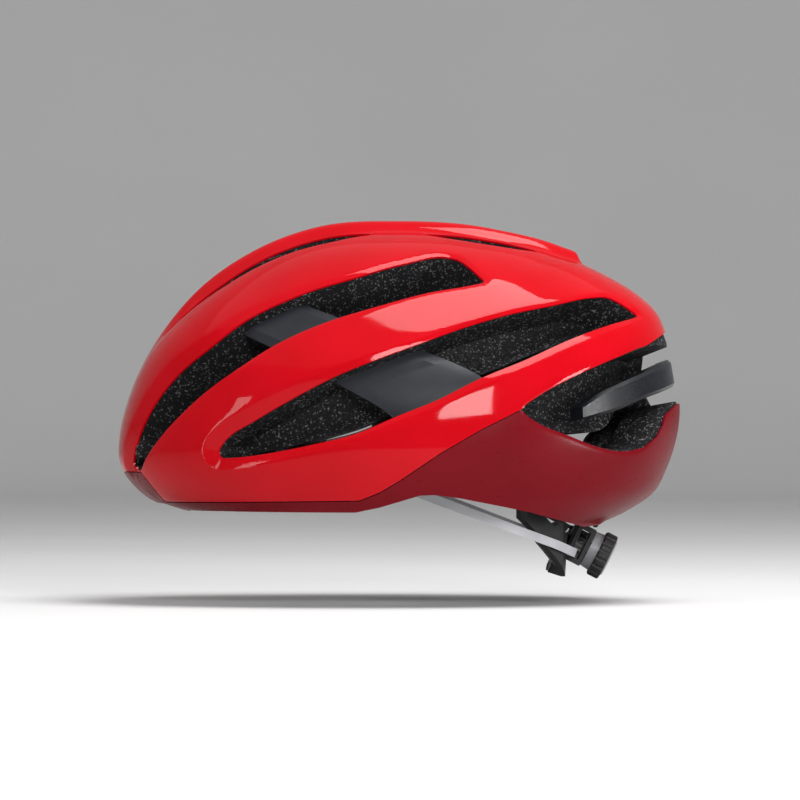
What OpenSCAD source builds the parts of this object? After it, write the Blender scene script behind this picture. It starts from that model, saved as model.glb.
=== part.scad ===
// Road cycling helmet: in-mould shells over a foam liner, with an occipital
// fit system, comfort pads and the chin straps tucked up inside.
// Frame: X runs front (-) to rear (+), Y to the wearer's right, Z up.
// The origin is the centre of the head opening, level with the front rim.

/* [Shell] */
// Overall length of the shell, front to rear
shell_length = 285; // [278:1:292]
// Overall width of the shell
shell_width = 210; // [206:1:216]
// Height of the crown above the front rim
crown_height = 147; // [144:1:150]
// Thickness of the moulded polycarbonate skins
skin = 0.9; // [0.8:0.1:1.2]
// Height of the centre spine above the ribs beside it
spine_height = 5; // [3:0.5:6]

/* [Fit system] */
// Outer diameter of the adjuster dial
dial_diameter = 24; // [22:0.5:25]
// Length of the dial along its axis
dial_length = 12; // [10:0.5:13]
// Thickness of the head band
band_thickness = 1.6; // [1.2:0.1:2]
// Width of the head band
band_width = 6; // [5:0.5:6.5]

/* [Straps and pads] */
// Width of the chin strap webbing
webbing_width = 15; // [12:0.5:16]
// Thickness of the webbing
webbing_thickness = 1.4; // [1:0.1:1.6]
// Thickness of the comfort pads
pad_thickness = 6.2; // [5:0.1:6.5]

/* [Hidden] */
$fn = 48;
kx = shell_length / 285;
ky = shell_width / 210;
kz = crown_height / 147;
centre = [0, 0, 30 * kz];
// The plan is round at the crown and a little squarer lower down
squareness = 0.15;
shell_columns = 48;
shell_rings = 16;
// Rings crowd towards the crown, where the spine is narrow against their spacing
ring_crowding = 1.3;
lowest_angle = 112;
liner_gap = 0.35;
socket_gap = 0.35;

// ---- Profiles: [distance from the centre line, height] in the middle and side planes ----
front_line = [[0, 147], [40, 144.5], [76, 131], [101, 113.5], [119, 93], [131, 73.5],
    [138.5, 55], [142.5, 38], [142.5, 25], [138, 15.5], [126, 5], [110, 0]];
rear_line = [[0, 147], [46, 143.3], [82, 134], [92, 130.5], [108, 122.5], [123, 111.5], [132, 101],
    [135.5, 91], [140, 74], [142.5, 52], [141, 38], [136, 22], [129, 9], [116, 0], [103, -6]];
side_line = [[0, 147], [30, 142.5], [55, 131], [75, 114], [90, 92], [99, 70], [104, 48],
    [105, 30], [103, 15], [98, 2]];
cavity_front = [[0, 118], [40, 112], [70, 95], [88, 70], [95, 45], [97, 25], [98, 5], [100, -10]];
cavity_rear = [[0, 118], [40, 113], [72, 98], [92, 70], [99, 45], [100, 25], [98, 5], [97, -10]];
cavity_side = [[0, 118], [30, 112], [52, 98], [68, 75], [76, 50], [79, 30], [80, 10], [82, -10]];

function polar(line, k) = [for (q = line)
    [atan2(q[0] * k, q[1] * kz - centre.z), norm([q[0] * k, q[1] * kz - centre.z])]];
outer_lines = [polar(front_line, kx), polar(rear_line, kx), polar(side_line, ky)];
cavity_lines = [polar(cavity_front, kx), polar(cavity_rear, kx), polar(cavity_side, ky)];

// ---- Smooth curve through a profile ----
function ease(a, b, t) = let (u = min(1, max(0, (t - a) / (b - a)))) u * u * (3 - 2 * u);
function span(p, t, i = 0) = i >= len(p) - 2 || t < p[i + 1][0] ? i : span(p, t, i + 1);
function slope(p, i) = i == 0 ? 0
    : let (a = p[i - 1], b = p[min(i + 1, len(p) - 1)]) (b[1] - a[1]) / (b[0] - a[0]);
function curve(p, angle) = let (
        t = min(angle, p[len(p) - 1][0]),
        i = span(p, t), w = p[i + 1][0] - p[i][0], u = (t - p[i][0]) / w,
        m0 = slope(p, i) * w, m1 = slope(p, i + 1) * w)
    (2 * u * u * u - 3 * u * u + 1) * p[i][1] + (u * u * u - 2 * u * u + u) * m0
    + (3 * u * u - 2 * u * u * u) * p[i + 1][1] + (u * u * u - u * u) * m1;

// Distance from the centre to a dome along heading h and angle a from straight up
function dome(lines, h, a) = let (
        lengthwise = curve(lines[cos(h) < 0 ? 0 : 1], a), sideways = curve(lines[2], a),
        n = 2 + squareness * ease(15, 75, a))
    pow(pow(abs(cos(h)) / lengthwise, n) + pow(abs(sin(h)) / sideways, n), -1 / n);
function spine_share(x, y) = (1 - ease(7, 15, abs(y))) * (1 - ease(88, 97, x));
function outer_reach(h, a) = let (r = dome(outer_lines, h, a))
    r - spine_height * (1 - ease(45, 72, a)) * (1 - spine_share(r * sin(a) * cos(h), r * sin(a) * sin(h)));
function cavity_reach(h, a) = dome(cavity_lines, h, a);
function heading(d) = atan2(d.y, d.x);
function lean(d) = acos(d.z / norm(d));
function place(h, a, r) = centre + r * [sin(a) * cos(h), sin(a) * sin(h), cos(a)];
// Points on the outer dome and on the cavity, off millimetres inwards, along direction d
function on_cavity(d, off) = centre + d / norm(d) * (cavity_reach(heading(d), lean(d)) - off);
// Where the line from a to b leaves the outer dome lowered by off, by halving
function leaves(a, b, off, n = 14) = n == 0 ? (a + b) / 2
    : let (m = (a + b) / 2, d = m - centre)
      norm(d) < outer_reach(heading(d), lean(d)) - off ? leaves(m, b, off, n - 1) : leaves(a, m, off, n - 1);
function enters(a, b, off, n = 14) = n == 0 ? (a + b) / 2
    : let (m = (a + b) / 2, d = m - centre)
      norm(d) < cavity_reach(heading(d), lean(d)) - off ? enters(m, b, off, n - 1) : enters(a, m, off, n - 1);
// Left-hand surface points given in side, top and rear view
function seen_side(x, z, off = 0) = leaves([x * kx, 0, z * kz], [x * kx, -130, z * kz], off);
function seen_top(x, y, off = 0) = leaves([x * kx, y * ky, 30], [x * kx, y * ky, 170], off);
function seen_rear(y, z, off = 0) = leaves([0, y * ky, z * kz], [170, y * ky, z * kz], off);
function seen_inside(x, z, off = 0) = enters([x * kx, 0, z * kz], [x * kx, -110, z * kz], off);

// ---- Vents: rungs from front to rear, each [upper x, upper z, lower x, lower z] in side view ----
brow_vent = [[-137, 22, -130, 20.5], [-135, 36, -124, 32], [-127, 53, -112, 46], [-114, 69.5, -98, 59],
    [-98, 82.5, -80, 72], [-78, 97, -60, 84.5], [-50, 109.5, -36, 95], [-24, 117.5, -10, 103],
    [2, 125, 14, 109.5], [24, 128.5, 34, 113], [30, 127, 43, 115]];
flank_vent = [[-92.5, 31, -91, 27], [-88, 37, -82, 27.5], [-74, 46, -64, 30], [-54, 57.5, -44, 34],
    [-32, 68.5, -22, 39.5], [-12, 76.5, -2, 48], [10, 84.5, 18, 56], [32, 92.5, 40, 67], [54, 99, 62, 76],
    [78, 104, 84, 86], [98, 108, 104, 93.5], [106, 108, 116, 97], [116, 102.5, 121, 98.5]];
exhaust_side = [[61, 53, 62, 49], [70, 59, 70, 44], [84, 66.5, 84, 38.5], [98, 73, 98, 33],
    [110, 78, 110, 30.5], [121, 82.5, 122, 32.5]];
// The exhaust vent goes on round the back: [y, upper z, lower z] in rear view
exhaust_rear = [[-40, 84, 50], [-14, 84, 56]];
// Crown slits beside the spine: [x, inner y, outer y] in top view
crown_slit_front = [[-119, 15, 17], [-104, 14, 21], [-84, 14, 25], [-58, 14, 27], [-32, 14, 26], [-15, 15, 19]];
crown_slit_rear = [[12, 16, 18], [24, 15, 24], [42, 15, 27], [58, 15, 26], [70, 17, 20]];
function side_rungs(v) = [for (r = v) [seen_side(r[0], r[1]), seen_side(r[2], r[3])]];
function top_rungs(v) = [for (r = v) [seen_top(r[0], -r[1]), seen_top(r[0], -r[2])]];
function rear_rungs(v) = [for (r = v) [seen_rear(r[0], r[1]), seen_rear(r[0], r[2])]];
vent_rungs = [side_rungs(brow_vent), side_rungs(flank_vent),
    concat(side_rungs(exhaust_side), rear_rungs(exhaust_rear)),
    top_rungs(crown_slit_front), top_rungs(crown_slit_rear)];
back_web = rear_rungs([[-14.5, 84, 56], [0, 84, 56], [14.5, 84, 56]]);
recess = 0.91;

// ---- Side view cut lines: [x, z] ----
seam = [[-135, 20], [-130, 20], [-118, 5], [-20, 6.5], [-10, 10.5], [0, 16.5], [20, 30], [40, 41.5],
    [60, 51.5], [70, 59], [84, 66.5], [98, 73], [110, 78], [124, 83.5], [134, 90], [150, 99]];
cup_top = [[60, 51], [62, 49], [70, 44], [84, 38.5], [98, 33], [110, 30.5], [122, 32], [129, 37.5],
    [132.5, 44], [133, 48], [140, 54], [160, 56]];
rim = [[-160, 4], [-118, 4], [-109, 0.5], [-22, 0.5], [-10, 3], [0, 6], [10, 9], [17, 9.2], [30, 7.5],
    [50, 3.5], [64, 0.5], [80, -4], [92, -7.5], [101, -7], [116, -1], [160, 12]];
seam_gap = 0.5;

// ---- General solids ----
module across(points) {
    rotate([90, 0, 0])
        linear_extrude(400, center = true)
            polygon([for (p = points) [p[0] * kx, p[1] * kz]]);
}

// Solid lofted through closed loops; the loops have an even number of points, and the
// ends are closed by strips between point j and its partner counted from the last
module loft(loops) {
    m = len(loops[0]);
    n = len(loops);
    pair = [for (i = [0:n - 2]) for (j = [0:m - 1]) [i * m + j, i * m + (j + 1) % m]];
    sides = [for (e = pair) each [[e[0], e[1], e[1] + m], [e[0], e[1] + m, e[0] + m]]];
    last = (n - 1) * m;
    ends = [for (j = [0:m / 2 - 2]) each [
        [j, m - 1 - j, j + 1], [j + 1, m - 1 - j, m - 2 - j],
        [last + j, last + j + 1, last + m - 1 - j], [last + j + 1, last + m - 2 - j, last + m - 1 - j]]];
    a = loops[0];
    turn = [for (j = [0:m - 1]) cross(a[j] - a[0], a[(j + 1) % m] - a[0])];
    area = [for (j = [0:m - 1]) 1] * turn;
    faces = concat(sides, ends);
    inward = area * (loops[1][0] - a[0]) > 0;
    polyhedron([for (l = loops) each l], inward ? [for (f = faces) [f[0], f[2], f[1]]] : faces, convexity = 8);
}

// Closed bowl between two reaches, from the crown down to the lowest angle
module bowl(outer, inner) {
    c = shell_columns;
    r = shell_rings;
    half = c * r + 1;
    shape = [for (s = [0, 1]) each concat(
        [place(0, 0, s == 0 ? outer(0, 0) : inner(0, 0))],
        [for (j = [1:r]) for (i = [0:c - 1]) let (h = 360 * i / c, a = lowest_angle * pow(j / r, ring_crowding))
            place(h, a, s == 0 ? outer(h, a) : inner(h, a))])];
    crown = [for (i = [0:c - 1]) [0, 1 + (i + 1) % c, 1 + i]];
    walls = [for (j = [0:r - 2]) for (i = [0:c - 1])
        let (p = 1 + j * c + i, q = 1 + j * c + (i + 1) % c) each [[p, q, q + c], [p, q + c, p + c]]];
    top = concat(crown, walls);
    under = [for (f = top) [half + f[0], half + f[2], half + f[1]]];
    lip = [for (i = [0:c - 1]) let (p = 1 + (r - 1) * c + i, q = 1 + (r - 1) * c + (i + 1) % c)
        each [[p, q, half + q], [p, half + q, half + p]]];
    polyhedron(shape, concat(top, under, lip), convexity = 10);
}

// To a tenth of a millimetre, so that the flat walls of a vent stay flat when written out
function tenth(p) = [for (v = p) round(v * 10) / 10];
// One vent, cut towards the centre from the scale outside to the scale inside
module vent_cut(rungs, inside = 0.5, outside = 1.25) {
    loft([for (r = rungs) [for (q = [[r[0], inside], [r[0], outside], [r[1], outside], [r[1], inside]])
        centre + tenth(q[0] - centre) * q[1]]]);
}

// The same for a narrow slit, stretch by stretch; each stretch runs a little into its neighbours
stretch_overlap = 0.03;
module slit_cut(rungs, inside = 0.5, outside = 1.25) {
    for (i = [0:len(rungs) - 2]) {
        a = rungs[i];
        b = rungs[i + 1];
        ends = [for (r = [a - (b - a) * stretch_overlap, b + (b - a) * stretch_overlap])
            for (p = r) for (k = [inside, outside]) centre + tenth(p - centre) * k];
        hull() polyhedron(ends, [[0, 1, 3, 2], [4, 5, 7, 6]]);
    }
}

// Low vents step down on their way in: a full-width outer channel, then a lower inner slot
channel_floor = 0.85;
slot_upper = 0.22;
slot_lower = -0.32;
module stepped_vent(rungs) {
    vent_cut(rungs, channel_floor);
    vent_cut([for (r = rungs) [r[1] + (r[0] - r[1]) * slot_upper, r[1] + (r[0] - r[1]) * slot_lower]],
        0.5, channel_floor + 0.04);
}

module both_sides() {
    children();
    mirror([0, 1, 0]) children();
}

module all_vents() {
    both_sides() {
        vent_cut(vent_rungs[0]);
        for (i = [3, 4]) slit_cut(vent_rungs[i]);
        for (i = [1, 2]) stepped_vent(vent_rungs[i]);
    }
    vent_cut(back_web, recess);
}

// Patch that follows the cavity wall over a grid of directions, pillow-shaped at its edges
function pillow(u, v) = pow(1 - pow(abs(2 * u - 1), 4), 0.5) * pow(1 - pow(abs(2 * v - 1), 4), 0.5);
module cavity_patch(directions, base, thickness) {
    n = len(directions) - 1;
    m = len(directions[0]) - 1;
    loft([for (i = [0:n]) concat(
        [for (j = [0:m]) on_cavity(directions[i][j], base)],
        [for (j = [m:-1:0]) on_cavity(directions[i][j], base + 0.8 + (thickness - 0.8) * pillow(i / n, j / m))])]);
}

// ---- Shells ----
module upper_shell() {
    color("#e2001a")
        difference() {
            bowl(function (h, a) outer_reach(h, a), function (h, a) outer_reach(h, a) - skin);
            across(concat([[-160, 20]], seam, [[160, 99], [160, -60], [-160, -60]]));
            all_vents();
        }
}

// The lower shell lies a little deeper than the upper one
lower_drop = 0.2;
module lower_shell() {
    color("#b3101f")
        difference() {
            bowl(function (h, a) outer_reach(h, a) - lower_drop,
                function (h, a) outer_reach(h, a) - lower_drop - skin);
            across(concat([[-160, 20 - seam_gap]], [for (p = seam) if (p[0] < 50) [p[0], p[1] - seam_gap]],
                cup_top, [[160, 200], [-160, 200]]));
            across(concat(rim, [[160, -60], [-160, -60]]));
            strap_slot();
            // a real opening at each side of the vent that wraps round the back
            both_sides() slit_cut(vent_rungs[2]);
        }
}

rim_lip = 0.6;
module eps_liner() {
    color("#26262a")
        difference() {
            bowl(function (h, a) outer_reach(h, a) - lower_drop - skin - liner_gap,
                function (h, a) cavity_reach(h, a));
            across(concat([for (p = rim) [p[0], p[1] + rim_lip]], [[160, -60], [-160, -60]]));
            all_vents();
            arch(liner_gap);
            bridge(liner_gap);
            strap_slot();
            both_sides() temple_socket(socket_gap);
            both_sides() anchor_pocket(front_anchor);
            both_sides() anchor_pocket(rear_anchor);
        }
}

// Arch that crosses the helmet under the ribs: front and rear edges, left half
arch_depth = 7;
arch_thickness = 5;
arch_edges_top = [[-93, -70, 0], [-92, -68, 14], [-90, -64, 30]];
arch_edges_side = [[-84, 93, -54, 108], [-63, 82, -28, 97], [-31, 64.5, 13, 81], [-6, 50, 41, 68], [2, 44, 49, 62]];
bevel = 0.16;
bevel_drop = 2;
module arch(grow) {
    function edge(p, g) = centre + (p - centre) * (1 + g / norm(p - centre));
    function section(f, r) = let (
            f1 = f + (r - f) * bevel, r1 = r + (f - r) * bevel, e = grow * (f - r) / norm(f - r))
        [for (q = [edge(f, -arch_thickness - grow) + e, edge(f, -bevel_drop + grow) + e, edge(f1, grow),
            edge(r1, grow), edge(r, -bevel_drop + grow) - e, edge(r, -arch_thickness - grow) - e,
            edge(r1, -arch_thickness - grow), edge(f1, -arch_thickness - grow)]) tenth(q)];
    left = concat(
        [for (q = arch_edges_top)
            section(seen_top(q[0], -q[2], arch_depth), seen_top(q[1], -q[2], arch_depth))],
        [for (q = arch_edges_side)
            section(seen_side(q[0], q[1], arch_depth), seen_side(q[2], q[3], arch_depth))]);
    n = len(left) - 1;
    loft(concat([for (i = [n:-1:1]) left[i]], [for (s = left) [for (p = s) [p.x, -p.y, p.z]]]));
}

module cross_arch() {
    color("#45454b") arch(0);
}

// Bar that wraps round the back in the exhaust vent, left half:
// [heading, upper z, lower z, depth below the outer dome]
bridge_rows = [[-39, 53, 46.5, 9], [-33, 60.5, 49, 8], [-28, 64.5, 52, 7], [-22, 69, 56.5, 5],
    [-15, 73, 60, 3], [-7, 76, 62.5, 2], [0, 77, 63, 2]];
bridge_thickness = 8;
bridge_edge = 0.14;
module bridge(grow) {
    function rim_point(h, z, off) = leaves([0, 0, z * kz], [170 * cos(h), 170 * sin(h), z * kz], off);
    function sunk(p, t) = centre + (p - centre) * (1 - t / norm(p - centre));
    function section(u, l) = let (e = grow * (u - l) / norm(u - l))
        [for (q = [sunk(u, bridge_thickness + grow) + e, sunk(u, 1.5 - grow) + e,
            sunk(u + (l - u) * bridge_edge, -grow), sunk(l + (u - l) * bridge_edge, -grow),
            sunk(l, 1.5 - grow) - e, sunk(l, bridge_thickness + grow) - e]) tenth(q)];
    left = [for (q = bridge_rows) section(rim_point(q[0], q[1], q[3]), rim_point(q[0], q[2], q[3]))];
    n = len(left) - 1;
    loft(concat(left, [for (i = [n - 1:-1:0]) [for (p = left[i]) [p.x, -p.y, p.z]]]));
}

module rear_bridge() {
    color("#2c2c31") bridge(0);
}

// ---- Comfort pads ----
pad_base = 1.3;
pad_steps = 8;
// Pad on the wall between two headings and two angles from straight up
module wall_pad(h0, h1, a0, a1, steps = pad_steps) {
    cavity_patch([for (i = [0:steps]) [for (j = [0:4])
        let (h = h0 + (h1 - h0) * i / steps, a = a0 + (a1 - a0) * j / 4) [sin(a) * cos(h), sin(a) * sin(h), cos(a)]]],
        pad_base, pad_thickness);
}

// Strip under the crown: it runs lengthwise at one distance from the middle
module crown_strip(side) {
    cavity_patch([for (i = [0:10]) [for (j = [0:4]) [-62 + 12.4 * i, side * (15 + 4.5 * j), 80]]],
        pad_base, pad_thickness);
}

module brow_pad() {
    color("#3a3a40") wall_pad(135, 225, 86, 102, 16);
}

module crown_pad_left() {
    color("#3a3a40") crown_strip(-1);
}

module crown_pad_right() {
    color("#3a3a40") crown_strip(1);
}

// The side pads run behind the slots of the long vents, so one can't see through the helmet
side_headings = [52, 134];
side_angles = [56, 80];
module side_pad_left() {
    color("#3a3a40") wall_pad(-side_headings[1], -side_headings[0], side_angles[0], side_angles[1], 12);
}

module side_pad_right() {
    color("#3a3a40") wall_pad(side_headings[0], side_headings[1], side_angles[0], side_angles[1], 12);
}

module rear_pad() {
    color("#3a3a40") wall_pad(-30, 30, 62, 78);
}

// Hook-and-loop dots that hold the pads: heading and angle of each
dots = [[140, 94], [160, 94], [180, 94], [200, 94], [220, 94], [-108, 68], [-80, 68], [108, 68], [80, 68],
    [-18, 70], [18, 70], [-154, 38], [154, 38], [-26, 38], [26, 38]];
dot_half = 3.2;
module pad_fasteners() {
    color("#1b1b1e")
        for (d = dots)
            cavity_patch([for (i = [-1:1]) [for (j = [-1:1])
                let (h = d[0] + i * dot_half / sin(d[1]), a = d[1] + j * dot_half)
                [sin(a) * cos(h), sin(a) * sin(h), cos(a)]]], 0.3, 0.8);
}

// ---- Temple pivots of the head band ----
temple = [-35, 26.6];
pin_radius = 2;
module temple_socket(grow) {
    translate([temple.x, -73.2, temple.y])
        rotate([90, 0, 0])
            cylinder(h = 8, r = 6 + grow);
}

module temple_anchor() {
    color("#202024")
        union() {
            translate([temple.x, -73.4, temple.y]) rotate([90, 0, 0]) cylinder(h = 6.4, r = 6);
            translate([temple.x, -68.6, temple.y]) rotate([90, 0, 0]) cylinder(h = 6, r = pin_radius);
            translate([temple.x, -68.2, temple.y]) rotate([90, 0, 0]) cylinder(h = 1.6, r = 3.4);
        }
}

module temple_anchor_left() {
    temple_anchor();
}

module temple_anchor_right() {
    mirror([0, 1, 0]) temple_anchor();
}

module band_eye() {
    color("#6e6e74")
        difference() {
            union() {
                translate([temple.x, -70.4, temple.y]) rotate([90, 0, 0]) cylinder(h = 2.4, r = 5);
                translate([temple.x, -72.8, temple.y])
                    rotate([0, 20.75, 0])
                        translate([0, 0, -band_width / 2]) cube([8, 1.6, band_width]);
            }
            translate([temple.x, -60, temple.y]) rotate([90, 0, 0]) cylinder(h = 20, r = pin_radius + 0.06);
        }
}

module band_eye_left() {
    band_eye();
}

module band_eye_right() {
    mirror([0, 1, 0]) band_eye();
}

// ---- Head band: a tilted loop round the back of the head ----
band_fall = 0.379;
band_length_half = 91.5;
band_width_half = 75.5;
band_loop = 2.2;
function band_point(y, inset, lift) = let (
        b = band_width_half - inset, a = band_length_half - inset,
        x = a * pow(1 - pow(abs(y) / b, band_loop), 1 / band_loop))
    [x, y, 8 - band_fall * (x - 14) + lift];
function band_at(x, inset, lift) = let (
        b = band_width_half - inset, a = band_length_half - inset,
        y = b * pow(1 - pow(abs(x) / a, band_loop), 1 / band_loop))
    [x, -y, 8 - band_fall * (x - 14) + lift];
band_up = [band_fall, 0, 1] / norm([band_fall, 0, 1]);
module fit_band(rise) {
    stations = concat([for (x = [-26:8:62]) [x, 0]], [for (y = [-46:5:-21]) [0, y]]);
    function mid(s, inset) = s[1] == 0 ? band_at(s[0], inset, 0)
        : band_point(s[1], inset, rise * ease(46, 21, -s[1]));
    color("#6e6e74")
        loft([for (s = stations)
            [mid(s, 0) - band_up * band_width / 2, mid(s, 0) + band_up * band_width / 2,
             mid(s, band_thickness) + band_up * band_width / 2, mid(s, band_thickness) - band_up * band_width / 2]]);
}

module fit_band_left() {
    fit_band(-1);
}

module fit_band_right() {
    mirror([0, 1, 0]) fit_band(6.4);
}

// ---- Dial frame: along its axis s, up the back t, across y ----
dial_tilt = 27;
dial_base = [95, 0, -19];
module dial_frame() {
    translate(dial_base) rotate([0, 90 + dial_tilt, 0]) children();
}
// In this frame Z is outwards along the dial axis, X is downwards and Y is across
housing_half = 20;
housing_high = 10;
housing_deep = 9;
module dial_housing() {
    color("#1f1f23")
        dial_frame()
            difference() {
                translate([-housing_high, -housing_half, -housing_deep])
                    cube([2 * housing_high, 2 * housing_half, housing_deep]);
                translate([-7.4, -housing_half - 1, -6.8]) cube([14.8, 2 * housing_half + 2, 4.8]);
                translate([0, 0, -3]) cylinder(h = 4, r = 2.3);
                translate([0, 0, -housing_deep - 1]) cylinder(h = 4, r = 3.4);
                for (t = [-1, 1]) for (y = [-1, 1])
                    translate([t * (housing_high + 4), y * (housing_half + 4), -housing_deep - 1])
                        rotate([0, 0, 45]) translate([-5, -5, 0]) cube([10, 10, housing_deep + 2]);
            }
}

module housing_cover() {
    color("#1f1f23")
        dial_frame()
            difference() {
                translate([-8.4, -17, -housing_deep - 1.3]) cube([16.8, 34, 1.1]);
                translate([0, 0, -housing_deep - 3]) cylinder(h = 4, r = 1.6);
            }
}

// Leaf spring whose nose clicks past the teeth inside the dial
module click_spring() {
    color("#b9bcc2")
        dial_frame()
            union() {
                translate([-6.2, -4, 0.2]) cube([0.6, 8, 1.6]);
                translate([-6.9, -0.6, 0.2]) cube([1, 1.2, 1.6]);
                translate([-6.2, -4, 0.2]) cube([3, 0.6, 1.6]);
                translate([-6.2, 3.4, 0.2]) cube([3, 0.6, 1.6]);
            }
}

// ---- Dial ----
grip_radius = dial_diameter / 2;
grip_notches = 18;
module dial_knob() {
    color("#77777d")
        dial_frame()
            difference() {
                rotate_extrude()
                    polygon([[0, 2.2], [8.2, 2.2], [8.2, 0.9], [9.4, 0.9], [grip_radius - 2, dial_length - 6],
                        [grip_radius - 2, dial_length], [grip_radius - 3, dial_length + 0.8], [0, dial_length + 1.2]]);
                translate([0, 0, -1]) cylinder(h = 6, r = 2.1);
                translate([0, 0, 4]) cylinder(h = 5, r = 1.3);
                for (i = [0:23]) rotate([0, 0, 15 * i]) translate([7.6, -0.5, 0]) cube([1, 1, 2]);
            }
}

module dial_grip() {
    color("#161618")
        dial_frame()
            difference() {
                rotate_extrude()
                    polygon([[grip_radius - 1.9, dial_length - 5.6], [grip_radius - 0.8, dial_length - 6.4],
                        [grip_radius, dial_length - 5.6], [grip_radius, dial_length - 0.6],
                        [grip_radius - 0.7, dial_length], [grip_radius - 1.9, dial_length]]);
                for (i = [0:grip_notches - 1])
                    rotate([0, 0, 360 * i / grip_notches])
                        translate([grip_radius + 0.7, 0, 0]) cylinder(h = dial_length + 3, r = 1.3, $fn = 24);
            }
}

// ---- Pinion and racks ----
gear_teeth = 10;
gear_module = 0.8;
pressure = 25;
tooth_clear = 0.09;
pitch_radius = gear_teeth * gear_module / 2;
base_radius = pitch_radius * cos(pressure);
addendum = 0.7;
dedendum = 0.9;
tip_radius = pitch_radius + addendum;
root_radius = pitch_radius - dedendum;
// Along the dial axis
pinion_start = -6.4;
pinion_face = 4;
shaft_start = -2.41;
shaft_length = 6;
shaft_radius = 2;
pinion_bore = 1.3;
screw_head_start = -8.6;
screw_head_height = 1.8;
screw_head_radius = 2.8;
screw_start = -6.85;
screw_length = 15;
screw_radius = 1.1;
function involute(r) = let (a = acos(min(1, base_radius / r))) tan(a) * 180 / PI - a;
// Half the angle that a tooth fills at radius r
function half_tooth(r) = 90 / gear_teeth - tooth_clear / pitch_radius * 180 / PI
    + involute(pitch_radius) - involute(max(r, base_radius));
flank = [root_radius, base_radius, pitch_radius, (pitch_radius + tip_radius) / 2, tip_radius];
module pinion() {
    color("#d9d9d2")
        dial_frame()
            difference() {
                union() {
                    translate([0, 0, pinion_start])
                        linear_extrude(pinion_face)
                            polygon([for (i = [0:gear_teeth - 1]) each concat(
                                [for (r = flank) let (a = 360 * i / gear_teeth - half_tooth(r)) r * [cos(a), sin(a)]],
                                [for (k = [4:-1:0]) let (r = flank[k], a = 360 * i / gear_teeth + half_tooth(r))
                                    r * [cos(a), sin(a)]])]);
                    translate([0, 0, shaft_start]) cylinder(h = shaft_length, r = shaft_radius);
                }
                translate([0, 0, pinion_start - 1.6]) cylinder(h = pinion_face + shaft_length + 3, r = pinion_bore);
            }
}

module dial_screw() {
    color("#b9bcc2")
        dial_frame()
            union() {
                translate([0, 0, screw_head_start]) cylinder(h = screw_head_height, r = screw_head_radius);
                translate([0, 0, screw_start]) cylinder(h = screw_length, r = screw_radius);
            }
}

// Rack seen along the dial axis: its teeth point up, towards the pinion, and a gap is at zero
rack_step = PI * gear_module;
rack_from = -20.7;
rack_to = 10;
rack_start = -5.9;
rack_face = 3;
rack_back = -6.9;
rack_root = -4.9;
rack_tip = -3.4;
module rack() {
    half = rack_step / 4 - tooth_clear;
    lean_in = (pitch_radius + rack_tip) * tan(pressure);
    lean_out = -(pitch_radius + rack_root) * tan(pressure);
    translate([0, 0, rack_start])
        linear_extrude(rack_face)
            rotate([0, 0, 90])
                polygon(concat([[rack_from, rack_back], [rack_from, rack_root]],
                    [for (i = [-4:3]) each let (m = rack_step * (i + 0.5))
                        [[m - half - lean_out, rack_root], [m - half + lean_in, rack_tip],
                         [m + half - lean_in, rack_tip], [m + half + lean_out, rack_root]]],
                    [[rack_to, rack_root], [rack_to, rack_back]]));
}

module rack_left() {
    color("#8a8a90") dial_frame() rack();
}

module rack_right() {
    color("#8a8a90") dial_frame() rotate([0, 0, 180]) rack();
}

// ---- Cradle that cups the back of the head ----
// Stations across the left half: [y, upper z, lower z]
cradle_rows = [[-54, 9, -5], [-50, 6, -10], [-45, 1, -17], [-38, -4, -23], [-31, -5.5, -28.5], [-25, -6.5, -33],
    [-20, -7.5, -31], [-14, -8, -28], [-7, -8, -26], [0, -8, -25.5]];
cradle_thickness = 2;
pad_gap = 1.3;
// The wings lie just inside the head band; the middle passes in front of the dial housing
function cradle_wall(y, z, t) = let (
        middle = 1 - ease(17, 27, abs(y)),
        p = band_point(y, 2.8 + 4.4 * middle + t, 0))
    [p.x + tan(dial_tilt) * middle * (z + 16), y, z];
cradle_windows = [[[73.5, -3], [77.5, -7.5], [80, -6.4]], [[83, -11], [85, -8.8], [86.5, -9.6], [85.2, -12], [83.6, -12]]];
module cradle_frame() {
    left = [for (q = cradle_rows)
        [cradle_wall(q[0], q[1], 0), cradle_wall(q[0], q[2], 0), cradle_wall(q[0], q[2], cradle_thickness),
         cradle_wall(q[0], q[1], cradle_thickness)]];
    n = len(left) - 1;
    color("#1a1a1d")
        resize([0, 0, 0])
            difference() {
                loft(concat(left, [for (i = [n - 1:-1:0]) [for (p = left[i]) [p.x, -p.y, p.z]]]));
                for (w = cradle_windows)
                    rotate([90, 0, 0]) linear_extrude(200, center = true) polygon(w);
            }
}

cradle_pad_rows = [[-44, -3, -15], [-39, -8, -20], [-33, -12, -25], [-28.5, -14, -28.5], [-24.5, -15, -28.5]];
module cradle_pad() {
    base = cradle_thickness + pad_gap;
    color("#3a3a40")
        loft([for (q = cradle_pad_rows)
            [cradle_wall(q[0], q[1], base), cradle_wall(q[0], q[2], base),
             cradle_wall(q[0], q[2] + 2, base + 3), cradle_wall(q[0], q[1] - 2, base + 3)]]);
}

module cradle_pad_left() {
    cradle_pad();
}

module cradle_pad_right() {
    mirror([0, 1, 0]) cradle_pad();
}

// ---- Height adjuster: a strip that slides in a slot in the rear rim ----
strip_half = 9;
strip_thickness = 1.8;
strip_line = [[99.2, -8.6], [101.6, -4], [103, 2], [103.4, 9], [103.4, 18]];
module strap_slot() {
    translate([90, -strip_half - 1.5, -20]) cube([17, 2 * strip_half + 3, 48]);
}

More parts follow.
